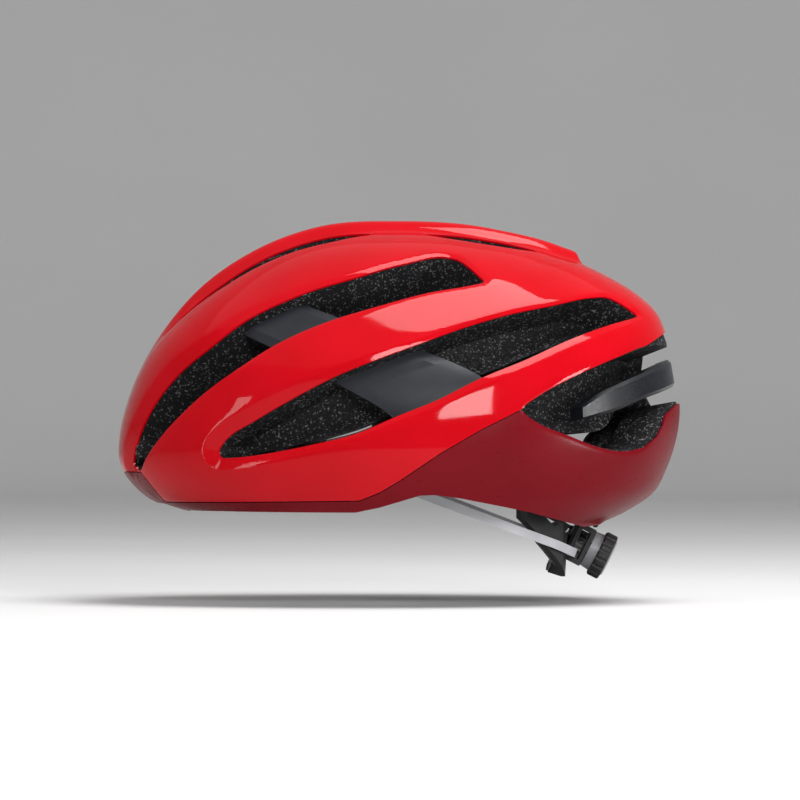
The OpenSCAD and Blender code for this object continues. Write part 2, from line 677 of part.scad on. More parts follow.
module height_strap() {
    color("#1a1a1d")
        resize([0, 0, 0])
            difference() {
                loft([for (p = strip_line) let (t = strip_thickness / 2)
                    [[p.x - t, -strip_half, p.y], [p.x + t, -strip_half, p.y],
                     [p.x + t, strip_half, p.y], [p.x - t, strip_half, p.y]]]);
                for (z = [5, 10, 15]) translate([95, -3, z]) cube([15, 6, 2]);
            }
}

module height_anchor() {
    color("#2c2c31")
        difference() {
            translate([99.9, -strip_half - 1, 19.5]) cube([6.6, 2 * strip_half + 2, 8]);
            translate([101, -strip_half - 0.5, 15]) cube([4.6, 2 * strip_half + 1, 11.5]);
        }
}

// ---- Strap anchors in the rim of the foam ----
// Middle of each anchor in side view, on the cavity wall
front_anchor = [-52, 15];
rear_anchor = [45, 15];
module anchor_frame(a) {
    p = seen_inside(a[0], a[1], 0);
    translate(p) rotate([0, 0, atan2(p.y, p.x) + 90]) children();
}

module anchor_pocket(a) {
    anchor_frame(a) translate([-10, -3, -5]) cube([20, 12, 10]);
}

module strap_anchor(a) {
    color("#2c2c31")
        anchor_frame(a)
            difference() {
                translate([-9.5, -2.6, -4.5]) cube([19, 4.4, 9]);
                translate([-8, -1.4, -2.2]) cube([16, 5, 3.2]);
            }
}

module strap_anchor_front_left() {
    strap_anchor(front_anchor);
}

module strap_anchor_front_right() {
    mirror([0, 1, 0]) strap_anchor(front_anchor);
}

module strap_anchor_rear_left() {
    strap_anchor(rear_anchor);
}

module strap_anchor_rear_right() {
    mirror([0, 1, 0]) strap_anchor(rear_anchor);
}

// ---- Webbing, tucked up against the inside of the helmet ----
// Rungs across each leg: [front x, front z, rear x, rear z, distance from the wall]
front_leg = [[-59, 20.5, -44.5, 21.5, 5], [-57, 25, -43, 26, 8.2], [-51, 33, -38, 35.5, 9.4],
    [-45, 38.5, -33.5, 43, 10.2]];
rear_leg = [[38, 20.5, 50, 21.5, 5], [34, 24.5, 46, 29, 8.2], [16, 32, 24, 43, 9.4], [0, 37.5, 6, 50, 9.8],
    [-14, 42.5, -12, 56, 10.2]];
module leg(rungs) {
    color("#141416")
        loft([for (r = rungs)
            [seen_inside(r[0], r[1], r[4]), seen_inside(r[2], r[3], r[4]),
             seen_inside(r[2], r[3], r[4] + webbing_thickness), seen_inside(r[0], r[1], r[4] + webbing_thickness)]]);
}

module front_strap_left() {
    leg(front_leg);
}

module front_strap_right() {
    mirror([0, 1, 0]) leg(front_leg);
}

module rear_strap_left() {
    leg(rear_leg);
}

module rear_strap_right() {
    mirror([0, 1, 0]) leg(rear_leg);
}

// Chin webbing from the divider up and over to the buckle: it sinks to the buckle at its end
chin_x = -24;
chin_depth = 9.2;
chin_sink = 6.7;
module chin_strap(last) {
    color("#141416")
        loft([for (a = [64, 56, 48, 40, 32, 24, last]) let (
                d = chin_depth + chin_sink * (1 - ease(last, 34, a)),
                f = [(chin_x - webbing_width / 2) / 84, -sin(a), cos(a)],
                r = [(chin_x + webbing_width / 2) / 84, -sin(a), cos(a)])
            [on_cavity(f, d), on_cavity(r, d), on_cavity(r, d + webbing_thickness),
             on_cavity(f, d + webbing_thickness)]]);
}

module chin_strap_left() {
    chin_strap(18.4);
}

module chin_strap_right() {
    mirror([0, 1, 0]) chin_strap(14.3);
}

// ---- Strap dividers with their cam levers ----
// Local frame: X rearwards, Y down, Z towards the head
divider_place = [-24, -61.6, 53];
divider_lean = -102;
lever_pin = [0, -5, 5.6];
module divider_frame() {
    translate(divider_place) rotate([divider_lean, 0, 0]) children();
}

module strap_divider() {
    color("#1c1c1f")
        divider_frame()
            difference() {
                union() {
                    translate([-10, -9, 0]) cube([20, 18, 2.6]);
                    for (x = [-10, 7.8]) translate([x, lever_pin.y - 2.6, 0]) cube([2.2, 5.2, 7.8]);
                }
                translate([-7, 2.5, -1]) cube([14, 3, 5]);
                translate([-7, -1.5, -1]) cube([14, 2, 5]);
                translate([-12, lever_pin.y, lever_pin.z]) rotate([0, 90, 0]) cylinder(h = 24, r = 1);
            }
}

module strap_divider_left() {
    strap_divider();
}

module strap_divider_right() {
    mirror([0, 1, 0]) strap_divider();
}

module divider_pin() {
    color("#9a9aa0")
        divider_frame()
            translate([-10, lever_pin.y, lever_pin.z]) rotate([0, 90, 0]) cylinder(h = 20, r = 0.95);
}

module divider_pin_left() {
    divider_pin();
}

module divider_pin_right() {
    mirror([0, 1, 0]) divider_pin();
}

module divider_lever() {
    color("#26262a")
        divider_frame()
            difference() {
                union() {
                    translate([-7.3, lever_pin.y, lever_pin.z]) rotate([0, 90, 0]) cylinder(h = 14.6, r = 2.1);
                    translate([-7.3, lever_pin.y, lever_pin.z - 0.6]) cube([14.6, 13.6, 2.2]);
                }
                translate([-9, lever_pin.y, lever_pin.z]) rotate([0, 90, 0]) cylinder(h = 20, r = 1);
            }
}

module divider_lever_left() {
    divider_lever();
}

module divider_lever_right() {
    mirror([0, 1, 0]) divider_lever();
}

// ---- Side-release buckle under the crown ----
buckle_place = [chin_x + 2, 0, 98.6];
module buckle_socket() {
    color("#1c1c1f")
        translate(buckle_place)
            difference() {
                translate([-12.5, -21, -4]) cube([25, 25, 8]);
                translate([-9.8, -13.5, -2.6]) cube([19.6, 20, 5.2]);
                for (s = [-1, 1]) translate([s * 11.5 - 3.5, -12.5, -2.6]) cube([7, 8, 5.2]);
                translate([-8.2, -19, -6]) cube([16.4, 3, 12]);
            }
}

module buckle_plug() {
    color("#1c1c1f")
        translate(buckle_place)
            difference() {
                union() {
                    translate([-12, 4.4, -3.6]) cube([24, 12, 7.2]);
                    translate([-2.2, -12, -2]) cube([4.4, 16.5, 4]);
                }
                translate([-8.2, 10.5, -6]) cube([16.4, 3, 12]);
                for (s = [-1, 1]) translate([s * 7.6, 5.6, -6]) cylinder(h = 12, r = 2.4);
                for (s = [-1, 1]) translate([s * 7.6 - 2.1, 3, -6]) cube([4.2, 3, 12]);
            }
}

prong_pivot = [7.6, 5.6];
module prong() {
    color("#242428")
        union() {
            translate([prong_pivot.x, prong_pivot.y, -2.2]) cylinder(h = 4.4, r = 2);
            translate([6.4, -11.6, -2.2]) cube([2.4, 17.2, 4.4]);
            translate([6.4, -11.6, -2.2])
                linear_extrude(4.4)
                    polygon([[0, 0], [3.4, 0], [5.6, 3.4], [5.6, 6.2], [0, 6.2]]);
        }
}

module buckle_prong_rear() {
    translate(buckle_place) prong();
}

module buckle_prong_front() {
    translate(buckle_place) mirror([1, 0, 0]) prong();
}

// Rubber keeper round the right-hand webbing
module strap_keeper() {
    a = 42;
    p = on_cavity([chin_x / 84, sin(a), cos(a)], chin_depth + webbing_thickness / 2);
    color("#0f0f10")
        translate(p)
            rotate([-a - 3, 0, 0])
                difference() {
                    cube([webbing_width + 5.4, 6, webbing_thickness + 5], center = true);
                    cube([webbing_width + 3.2, 8, webbing_thickness + 3.2], center = true);
                }
}

upper_shell();
lower_shell();
eps_liner();
cross_arch();
rear_bridge();
brow_pad();
crown_pad_left();
crown_pad_right();
side_pad_left();
side_pad_right();
rear_pad();
pad_fasteners();
temple_anchor_left();
temple_anchor_right();
height_anchor();
strap_anchor_front_left();
strap_anchor_front_right();
strap_anchor_rear_left();
strap_anchor_rear_right();
front_strap_left();
front_strap_right();
rear_strap_left();
rear_strap_right();
strap_divider_left();
strap_divider_right();
divider_pin_left();
divider_pin_right();
divider_lever_left();
divider_lever_right();
chin_strap_left();
chin_strap_right();
buckle_socket();
buckle_plug();
buckle_prong_front();
buckle_prong_rear();
strap_keeper();
band_eye_left();
band_eye_right();
fit_band_left();
fit_band_right();
height_strap();
cradle_frame();
cradle_pad_left();
cradle_pad_right();
dial_housing();
housing_cover();
click_spring();
dial_knob();
dial_grip();
pinion();
dial_screw();
rack_left();
rack_right();
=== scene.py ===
import math

import bmesh
import bpy
import numpy as np
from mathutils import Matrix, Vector


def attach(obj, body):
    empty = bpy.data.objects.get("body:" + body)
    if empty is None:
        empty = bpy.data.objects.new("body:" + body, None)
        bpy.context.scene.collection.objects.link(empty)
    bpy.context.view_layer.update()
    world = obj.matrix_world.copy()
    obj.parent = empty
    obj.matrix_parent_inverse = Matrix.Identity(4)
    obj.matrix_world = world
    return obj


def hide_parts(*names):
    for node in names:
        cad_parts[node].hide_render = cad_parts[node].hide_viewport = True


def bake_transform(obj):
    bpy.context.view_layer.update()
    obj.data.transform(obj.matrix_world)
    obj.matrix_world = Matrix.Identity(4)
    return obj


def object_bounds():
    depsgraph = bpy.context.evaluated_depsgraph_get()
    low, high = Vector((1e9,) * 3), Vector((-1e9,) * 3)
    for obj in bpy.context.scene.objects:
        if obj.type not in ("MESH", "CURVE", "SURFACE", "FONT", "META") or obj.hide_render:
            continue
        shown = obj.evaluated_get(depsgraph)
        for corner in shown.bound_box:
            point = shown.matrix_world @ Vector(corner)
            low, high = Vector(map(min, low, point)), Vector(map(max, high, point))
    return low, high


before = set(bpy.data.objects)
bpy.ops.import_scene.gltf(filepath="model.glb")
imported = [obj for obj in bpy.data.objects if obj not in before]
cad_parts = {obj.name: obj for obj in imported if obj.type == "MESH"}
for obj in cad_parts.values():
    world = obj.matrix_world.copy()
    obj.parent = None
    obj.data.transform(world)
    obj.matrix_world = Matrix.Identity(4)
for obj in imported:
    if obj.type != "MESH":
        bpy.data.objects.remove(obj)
cad_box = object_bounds()

# ---- Camera ----
# The helmet is seen square on from its left side, from so far off that the view is nearly flat.
camera_distance = 3.0
view_width = 0.407
view_height_centre = 0.056
lens_data = bpy.data.cameras.new("side_view")
lens_data.sensor_width = 36
lens_data.lens = lens_data.sensor_width * camera_distance / view_width
lens_data.clip_end = 20
camera = bpy.data.objects.new("side_view", lens_data)
camera.location = (0, -camera_distance, view_height_centre)
camera.rotation_euler = (math.pi / 2, 0, 0)
bpy.context.scene.collection.objects.link(camera)
bpy.context.scene.camera = camera
bpy.context.scene.view_settings.view_transform = "Standard"

# ---- Floor and backdrop ----
# A plain pale sheet: it lies flat below the helmet and sweeps up far behind and in front of it.
floor_drop = 0.012


def paper_sweep(reach, bend, tall):
    """Square sheet whose height is zero up to reach, then climbs on a quarter circle of radius bend and
    goes on straight up to tall; it depends only on the distance from the middle.
    """
    quarter = np.linspace(0, np.pi / 2, 17)[1:]
    along = np.concatenate([np.linspace(0, reach, 12), reach + bend * np.sin(quarter)])
    rise = np.concatenate([np.zeros(12), bend * (1 - np.cos(quarter))])
    along, rise = np.append(along, reach + bend), np.append(rise, tall)
    turn = np.linspace(0, 2 * np.pi, 97)[:-1]
    ring = np.stack([np.outer(along, np.cos(turn)), np.outer(along, np.sin(turn)),
                     np.repeat(rise[:, None], len(turn), 1)], -1)
    rows, columns = len(along), len(turn)
    at = np.arange(rows * columns).reshape(rows, columns)
    right = np.roll(at, -1, 1)
    quads = np.stack([at[:-1], at[1:], right[1:], right[:-1]], -1).reshape(-1, 4)
    return ring.reshape(-1, 3), quads[columns:], at[1]


sweep_points, sweep_quads, sweep_inner = paper_sweep(3.3, 0.9, 4.0)
sweep_points[:, 2] += cad_box[0][2] - floor_drop
sheet_data = bpy.data.meshes.new("floor")
sheet_data.from_pydata(sweep_points, [], [*sweep_quads.tolist(), sweep_inner.tolist()])
sheet_data.polygons.foreach_set("use_smooth", [True] * len(sheet_data.polygons))
floor = bpy.data.objects.new("floor", sheet_data)
bpy.context.scene.collection.objects.link(floor)

# ---- Upper shell ----
# A thin red polycarbonate skin, moulded over the foam. Four ribs a side run between its vents,
# and every vent is framed by a flat bevel that ends in a crisp crest. Lengths are in millimetres.
MM = 0.001
centre = np.array([0, 0, 30.0])
front_line = [[0, 147], [40, 144.5], [76, 131], [101, 113.5], [119, 93], [131, 73.5],
              [138.5, 55], [142.5, 38], [142.5, 25], [138, 15.5], [126, 5], [110, 0]]
rear_line = [[0, 147], [46, 143.3], [82, 134], [92, 130.5], [108, 122.5], [123, 111.5], [132, 101],
             [135.5, 91], [140, 74], [142.5, 52], [141, 38], [136, 22], [129, 9], [116, 0], [103, -6]]
side_line = [[0, 147], [30, 142.5], [55, 131], [75, 114], [90, 92], [99, 70], [104, 48],
             [105, 30], [103, 15], [98, 2]]
spine_height = 5
seam = [[-135, 20], [-130, 20], [-118, 5], [-20, 6.5], [-10, 10.5], [0, 16.5], [20, 30], [40, 41.5],
        [60, 51.5], [70, 59], [84, 66.5], [98, 73], [110, 78], [124, 83.5], [134, 90], [150, 99]]
rim = [[-160, 4], [-118, 4], [-109, 0.5], [-22, 0.5], [-10, 3], [0, 6], [10, 9], [17, 9.2], [30, 7.5],
       [50, 3.5], [64, 0.5], [80, -4], [92, -7.5], [101, -7], [116, -1], [160, 12]]
skin = 0.9


def ease(a, b, t):
    """0 before a, 1 after b, and 3u^2 - 2u^3 between."""
    u = np.clip((t - a) / (b - a), 0, 1)
    return u * u * (3 - 2 * u)


def hermite(u, w, start, end, start_slope, end_slope):
    """Cubic over a span of width w, at the share u of it, with the given ends and end slopes."""
    return ((2 * u**3 - 3 * u**2 + 1) * start + (u**3 - 2 * u**2 + u) * start_slope * w
            + (3 * u**2 - 2 * u**3) * end + (u**3 - u**2) * end_slope * w)


def through(knots, values, t):
    """Cubic Hermite curve through the values at the knots; each slope is that of the chord between the
    two neighbours, and the first is zero.
    """
    knots, values = np.asarray(knots, float), np.asarray(values, float)
    slope = np.empty(len(knots))
    slope[1:-1] = (values[2:] - values[:-2]) / (knots[2:] - knots[:-2])
    slope[0], slope[-1] = 0, (values[-1] - values[-2]) / (knots[-1] - knots[-2])
    t = np.clip(t, knots[0], knots[-1])
    i = np.clip(np.searchsorted(knots, t, "right") - 1, 0, len(knots) - 2)
    w = knots[i + 1] - knots[i]
    return hermite((t - knots[i]) / w, w, values[i], values[i + 1], slope[i], slope[i + 1])


def dome(lines, heading, lean):
    """Reach of a dome from the centre: the front or rear profile and the side profile, read at the lean
    from straight up, are the half axes of a superellipse in the heading.
    """
    reaches = []
    for line in lines:
        line = np.asarray(line, float)
        across, up = line[:, 0], line[:, 1] - centre[2]
        reaches.append(through(np.arctan2(across, up), np.hypot(across, up), lean))
    along = np.where(np.cos(heading) < 0, reaches[0], reaches[1])
    n = 2 + 0.15 * ease(math.radians(15), math.radians(75), lean)
    return ((np.abs(np.cos(heading)) / along) ** n + (np.abs(np.sin(heading)) / reaches[2]) ** n) ** (-1 / n)


def shell_reach(heading, lean):
    """Reach of the outside of the helmet: the dome, less the depth by which all but the middle spine is
    sunk near the crown.
    """
    r = dome((front_line, rear_line, side_line), heading, lean)
    x, y = r * np.sin(lean) * np.cos(heading), r * np.sin(lean) * np.sin(heading)
    spine = (1 - ease(7, 15, np.abs(y))) * (1 - ease(88, 97, x))
    return r - spine_height * (1 - ease(math.radians(45), math.radians(72), lean)) * (1 - spine)


def angles(p):
    """Heading and lean from straight up of points seen from the centre."""
    d = p - centre
    return np.arctan2(d[..., 1], d[..., 0]), np.arctan2(np.hypot(d[..., 0], d[..., 1]), d[..., 2])


def ray(heading, lean):
    """Unit vectors of the given heading and lean."""
    return np.stack([np.sin(lean) * np.cos(heading), np.sin(lean) * np.sin(heading), np.cos(lean)], -1)


def where_it_leaves(start, end, off=0.0, reach=shell_reach):
    """Where each line from start to end passes out of the dome lowered by off, by halving."""
    start, end = np.broadcast_arrays(np.asarray(start, float), np.asarray(end, float))
    start, end = start.copy(), end.copy()
    for _ in range(24):
        middle = (start + end) / 2
        inside = (np.linalg.norm(middle - centre, axis=-1) < reach(*angles(middle)) - off)[..., None]
        start, end = np.where(inside, middle, start), np.where(inside, end, middle)
    return (start + end) / 2


def seen_side(xz, off=0.0, reach=shell_reach):
    """Points of the left side of a dome, given by x and z."""
    xz = np.asarray(xz, float)
    flat = np.stack([xz[..., 0], np.zeros_like(xz[..., 0]), xz[..., 1]], -1)
    return where_it_leaves(flat, flat + [0, -130, 0], off, reach)


def seen_top(xy, off=0.0):
    """Points of the outside given by x and y."""
    xy = np.asarray(xy, float)
    low = np.concatenate([xy, np.full_like(xy[..., :1], centre[2])], -1)
    return where_it_leaves(low, low + [0, 0, 140], off)


def seen_rear(yz, off=0.0):
    """Points of the back given by y and z."""
    yz = np.asarray(yz, float)
    flat = np.concatenate([np.zeros_like(yz[..., :1]), yz], -1)
    return where_it_leaves(flat, flat + [170, 0, 0], off)


# Each vent is a row of rungs: the ends of a rung lie on the vent's two long edges. After the ends
# come the widths of the bevel above and below.
brow_rungs = [[-137, 22, -130, 20.5, 7, 1], [-135, 36, -124, 32, 8, 1], [-127, 53, -112, 46, 8, 1],
              [-114, 69.5, -98, 59, 8, 1], [-98, 82.5, -80, 72, 7, 1], [-78, 97, -60, 84.5, 5, 1],
              [-50, 109.5, -36, 95, 3, 1], [-24, 117.5, -10, 103, 2.5, 1], [2, 125, 14, 109.5, 2.5, 1],
              [24, 128.5, 34, 113, 2.5, 1], [30, 127, 43, 115, 2.5, 1.5]]
flank_rungs = [[-92.5, 31, -91, 27, 7, 6], [-88, 37, -82, 27.5, 7, 5.5], [-74, 46, -64, 30, 7, 4.5],
               [-54, 57.5, -44, 34, 6, 3.5], [-32, 68.5, -22, 39.5, 4, 3], [-12, 76.5, -2, 48, 3, 3],
               [10, 84.5, 18, 56, 2.5, 3], [32, 92.5, 40, 67, 2.5, 3], [54, 99, 62, 76, 2.5, 3],
               [78, 104, 84, 86, 2.5, 3], [98, 108, 104, 93.5, 2.5, 3], [106, 108, 116, 97, 3, 3],
               [116, 102.5, 121, 98.5, 3, 3]]
exhaust_rungs = [[61, 53, 62, 49, 1, 2], [70, 59, 70, 44, 1, 2], [84, 66.5, 84, 38.5, 1, 2],
                 [98, 73, 98, 33, 1, 2], [110, 78, 110, 30.5, 1, 2], [121, 82.5, 122, 32.5, 1, 2]]
# At the back it runs past the middle line, where the two halves join
exhaust_rear = [[-40, 84, 50, 1, 2], [-14, 84, 56, 1, 2], [0, 84, 56, 1, 2], [14, 84, 56, 1, 2]]
slot_rear = exhaust_rear[:2]
slit_bevel = 1.2
slit_front = [[-119, 15, 17], [-104, 14, 21], [-84, 14, 25], [-58, 14, 27], [-32, 14, 26], [-15, 15, 19]]
slit_rear = [[12, 16, 18], [24, 15, 24], [42, 15, 27], [58, 15, 26], [70, 17, 20]]


def from_side(rungs):
    """Ends of side-view rungs as points of the shell, with their bevel widths: (n, 2, 4)."""
    rungs = np.asarray(rungs, float)
    return np.concatenate([seen_side(rungs[:, :4].reshape(-1, 2, 2)), rungs[:, 4:].reshape(-1, 2, 1)], -1)


def from_rear(rungs):
    """The same for rungs given in rear view by y, upper z and lower z."""
    rungs = np.asarray(rungs, float)
    yz = np.stack([rungs[:, [0, 0]], rungs[:, 1:3]], -1)
    return np.concatenate([seen_rear(yz), rungs[:, 3:].reshape(-1, 2, 1)], -1)


def from_top(rungs, width=slit_bevel):
    """The same for rungs given in top view by x, inner y and outer y, on the left side."""
    rungs = np.asarray(rungs, float)
    xy = np.stack([rungs[:, [0, 0]], -rungs[:, 1:]], -1)
    return np.concatenate([seen_top(xy), np.full((len(rungs), 2, 1), width)], -1)


def flowing(points, count):
    """Catmull-Rom curve through the points, sampled evenly in chord length."""
    points = np.asarray(points, float)
    run = np.concatenate([[0], np.cumsum(np.linalg.norm(np.diff(points[:, :3], axis=0), axis=1))])
    t = np.linspace(0, run[-1], count)
    slope = np.gradient(points, run, axis=0, edge_order=1)
    i = np.clip(np.searchsorted(run, t, "right") - 1, 0, len(run) - 2)
    w = (run[i + 1] - run[i])[:, None]
    return hermite((t - run[i])[:, None] / w, w, points[i], points[i + 1], slope[i], slope[i + 1])


def outline(rungs, step=0.6, rounding=1.3):
    """Closed edge of a vent: curves through the upper and through the lower rung ends, joined,
    resampled at the step, smoothed by a Gaussian of the given width in millimetres, and put back on the
    shell. Each point carries its bevel width.
    """
    loop = np.concatenate([flowing(rungs[:, 0], 400), flowing(rungs[:, 1], 400)[::-1]])
    closed = np.concatenate([loop, loop[:1]])
    run = np.concatenate([[0], np.cumsum(np.linalg.norm(np.diff(closed[:, :3], axis=0), axis=1))])
    count = int(run[-1] / step)
    t = np.linspace(0, run[-1], count + 1)[:-1]
    even = np.stack([np.interp(t, run, closed[:, k]) for k in range(4)], -1)
    turn = np.fft.rfftfreq(count, step)
    blur = np.exp(-2 * (np.pi * turn * rounding) ** 2)
    soft = np.fft.irfft(np.fft.rfft(even, axis=0) * blur[:, None], count, axis=0)
    heading, lean = angles(soft[:, :3])
    soft[:, :3] = centre + ray(heading, lean) * shell_reach(heading, lean)[:, None]
    return soft


brow_vent = outline(from_side(brow_rungs))
flank_vent = outline(from_side(flank_rungs))
exhaust_vent = outline(np.concatenate([from_side(exhaust_rungs), from_rear(exhaust_rear)]))
crown_slits = [outline(from_top(slit_front), rounding=1.0), outline(from_top(slit_rear), rounding=1.0)]

# The helmet is laid out on a disc: the heading is kept, and the distance from the middle of the disc
# is the lean from straight up over the lean at which the rim lies.
rim_headings = np.linspace(-np.pi, np.pi, 721)


def rim_lean(reach, lift=0.0):
    """Lean at which a dome meets the rim line, for each of the rim headings, by halving."""
    low, high = np.full(len(rim_headings), 0.8), np.full(len(rim_headings), 2.1)
    line = np.asarray(rim, float)
    for _ in range(30):
        lean = (low + high) / 2
        p = centre + ray(rim_headings, lean) * reach(rim_headings, lean)[:, None]
        above = p[:, 2] > np.interp(p[:, 0], line[:, 0], line[:, 1]) + lift
        low, high = np.where(above, lean, low), np.where(above, high, lean)
    return low


outer_rim = rim_lean(shell_reach)


def to_disc(p):
    """Disc coordinates of points of the outside."""
    heading, lean = angles(p)
    far = lean / np.interp(heading, rim_headings, outer_rim)
    return np.stack([far * np.cos(heading), far * np.sin(heading)], -1)


def from_disc(uv, table=None):
    """Heading and lean of disc points, with the rim's lean taken from the table."""
    heading = np.arctan2(uv[..., 1], uv[..., 0])
    far = np.hypot(uv[..., 0], uv[..., 1])
    return heading, far * np.interp(heading, rim_headings, outer_rim if table is None else table)


def net(count):
    """Square net over the disc, count points a side, as points and triangles that mirror about the
    middle line.
    """
    line = np.linspace(-1.03, 1.03, count)
    uv = np.stack(np.meshgrid(line, line, indexing="ij"), -1)
    at = np.arange(count * count).reshape(count, count)
    a, b, c, d = at[:-1, :-1], at[1:, :-1], at[1:, 1:], at[:-1, 1:]
    left = (np.arange(count - 1) < (count - 1) // 2)[None, :, None]
    first = np.where(left, np.stack([a, b, c], -1), np.stack([a, b, d], -1))
    second = np.where(left, np.stack([a, c, d], -1), np.stack([b, c, d], -1))
    return uv, np.concatenate([first.reshape(-1, 3), second.reshape(-1, 3)])


def split(uv, triangles, field):
    """Cuts each triangle along the line where the field is zero. Gives the points, the triangles,
    whether each lies where the field is positive, and the triangle that each came from.
    """
    side = field > 0
    edges = np.stack([triangles, np.roll(triangles, -1, 1)], -1)
    crossed = side[edges[..., 0]] != side[edges[..., 1]]
    key = edges.min(-1) * len(uv) + edges.max(-1)
    cut = np.unique(key[crossed])
    a, b = cut // len(uv), cut % len(uv)
    t = (field[a] / (field[a] - field[b]))[:, None]
    middle = np.searchsorted(cut, key) + len(uv)
    whole = ~crossed.any(1)
    old, tri, mid, sides = np.flatnonzero(~whole), triangles[~whole], middle[~whole], side[triangles[~whole]]
    lone = np.argmax(np.stack([sides[:, i] != (sides.sum(1) > 1) for i in range(3)], 1), 1)
    row = np.arange(len(tri))
    p, q, r = tri[row, lone], tri[row, (lone + 1) % 3], tri[row, (lone + 2) % 3]
    pq, rp = mid[row, lone], mid[row, (lone + 2) % 3]
    parts = [triangles[whole], np.stack([p, pq, rp], 1), np.stack([pq, q, r], 1), np.stack([pq, r, rp], 1)]
    positive = [side[triangles[whole][:, 0]], side[p], side[q], side[q]]
    return (np.concatenate([uv, uv[a] + t * (uv[b] - uv[a])]), np.concatenate(parts),
            np.concatenate(positive), np.concatenate([np.flatnonzero(whole), old, old, old]))


def vent_distance(loop, uv):
    """Distance in space from each disc point's place on the shell to a vent's edge, negative inside the
    vent, with the bevel width at the nearest place of the edge. Far points get 99.
    """
    mirrored = np.stack([uv[:, 0], -np.abs(uv[:, 1])], -1)
    flat = to_disc(loop[:, :3])
    flat_next = np.roll(flat, -1, 0)
    low, high = flat.min(0) - 0.1, flat.max(0) + 0.1
    near = np.flatnonzero((mirrored > low).all(1) & (mirrored < high).all(1))
    heading, lean = from_disc(mirrored[near])
    points = centre + ray(heading, lean) * shell_reach(heading, lean)[:, None]
    edge = np.roll(loop[:, :3], -1, 0) - loop[:, :3]
    length = (edge**2).sum(1)
    distance, width = np.full(len(uv), 99.0), np.ones(len(uv))
    for k in range(0, len(near), 2000):
        some, p, m = near[k:k + 2000], points[k:k + 2000], mirrored[near[k:k + 2000]]
        away = p[:, None] - loop[None, :, :3]
        share = np.clip((away * edge).sum(-1) / length, 0, 1)
        gap = np.linalg.norm(away - share[..., None] * edge, axis=-1)
        best = gap.argmin(1)
        passes = ((flat[None, :, 1] > m[:, None, 1]) != (flat_next[None, :, 1] > m[:, None, 1]))
        rise = flat_next[:, 1] - flat[:, 1]
        share = (m[:, None, 1] - flat[:, 1]) / np.where(rise == 0, 1, rise)
        cross_at = flat[:, 0] + share * (flat_next[:, 0] - flat[:, 0])
        inside = (passes & (m[:, None, 0] < cross_at)).sum(1) % 2 == 1
        rows = np.arange(len(some))
        distance[some] = np.where(inside, -1, 1) * gap[rows, best]
        width[some] = loop[best, 3]
    return distance, width


def bevel_depth(distance, width):
    """Depth of the bevel beside a vent: it falls evenly from the crest to the edge, and the crest is
    rounded over about a millimetre.
    """
    t = (width - distance) * 0.42
    return (t + np.sqrt(t * t + 0.18)) / 2 * (distance < 30)


vents = (brow_vent, flank_vent, exhaust_vent, *crown_slits)
BROW, EXHAUST, SLITS = 0, 2, (3, 4)
to_vent = [2 + 2 * k for k in range(len(vents))]


def measured_net(count):
    """The net, as points and triangles; the right half repeats the left. The columns of a point are
    u and v on the disc, then the distance, at a column of to_vent, and the bevel width of each vent.
    """
    uv, triangles = net(count)
    half = uv[:, :count // 2 + 1].reshape(-1, 2)
    columns = np.stack([c for loop in vents for c in vent_distance(loop, half)], -1)
    columns = columns.reshape(count, count // 2 + 1, -1)
    both = np.concatenate([columns, columns[:, -2::-1]], 1)
    return np.concatenate([uv, both], -1).reshape(count * count, -1), triangles


def bevelled(points, triangles):
    """Adds mesh lines along both sides of every crest, so that the bevels end crisply."""
    for column in to_vent:
        for shift in (0.5, -0.5):
            field = points[:, column + 1] + shift - points[:, column]
            points, triangles, _, _ = split(points, triangles, field)
    return points, triangles


def trimmed(points, triangles, field):
    """The part of the net where the field is positive."""
    points, triangles, inside, _ = split(points, triangles, field)
    return points, triangles[inside]


def outside_shape(points, drop=0.0):
    """Places of net points on the outside of the shells, in millimetres: the shell's reach less the
    bevels and the drop.
    """
    heading, lean = from_disc(points[:, :2])
    depth = drop + sum(bevel_depth(points[:, k], points[:, k + 1]) for k in to_vent)
    return centre + ray(heading, lean) * (shell_reach(heading, lean) - depth)[:, None]


def free_edges(triangles):
    """Edges that belong to one triangle only, turned as that triangle runs."""
    edges = np.concatenate([triangles[:, [0, 1]], triangles[:, [1, 2]], triangles[:, [2, 0]]])
    key = np.sort(edges, 1) @ np.array([triangles.max() + 1, 1])
    _, first, times = np.unique(key, return_index=True, return_counts=True)
    return edges[first[times == 1]]


def put_in(name, points, faces, sharp=35):
    """Makes a mesh object from points in millimetres and lists of faces, merges what coincides, turns
    the faces outward and shades it smooth but for edges sharper than the angle.
    """
    data = bpy.data.meshes.new(name)
    flat = [np.asarray(f) for f in faces]
    loops = np.concatenate([f.reshape(-1) for f in flat])
    sizes = np.concatenate([np.full(len(f), f.shape[1]) for f in flat])
    used, loops = np.unique(loops, return_inverse=True)
    data.vertices.add(len(used))
    data.vertices.foreach_set("co", (np.asarray(points)[used] * MM).ravel())
    data.loops.add(len(loops))
    data.loops.foreach_set("vertex_index", loops.astype(np.int32))
    data.polygons.add(len(sizes))
    data.polygons.foreach_set("loop_start", np.concatenate([[0], np.cumsum(sizes)[:-1]]).astype(np.int32))
    data.update(calc_edges=True)
    data.validate()
    work = bmesh.new()
    work.from_mesh(data)
    bmesh.ops.remove_doubles(work, verts=work.verts, dist=5e-5)
    bmesh.ops.dissolve_degenerate(work, edges=work.edges, dist=2e-5)
    bmesh.ops.recalc_face_normals(work, faces=work.faces)
    work.to_mesh(data)
    work.free()
    data.polygons.foreach_set("use_smooth", np.ones(len(data.polygons), bool))
    data.set_sharp_from_angle(angle=math.radians(sharp))
    obj = bpy.data.objects.new(name, data)
    bpy.context.scene.collection.objects.link(obj)
    return obj


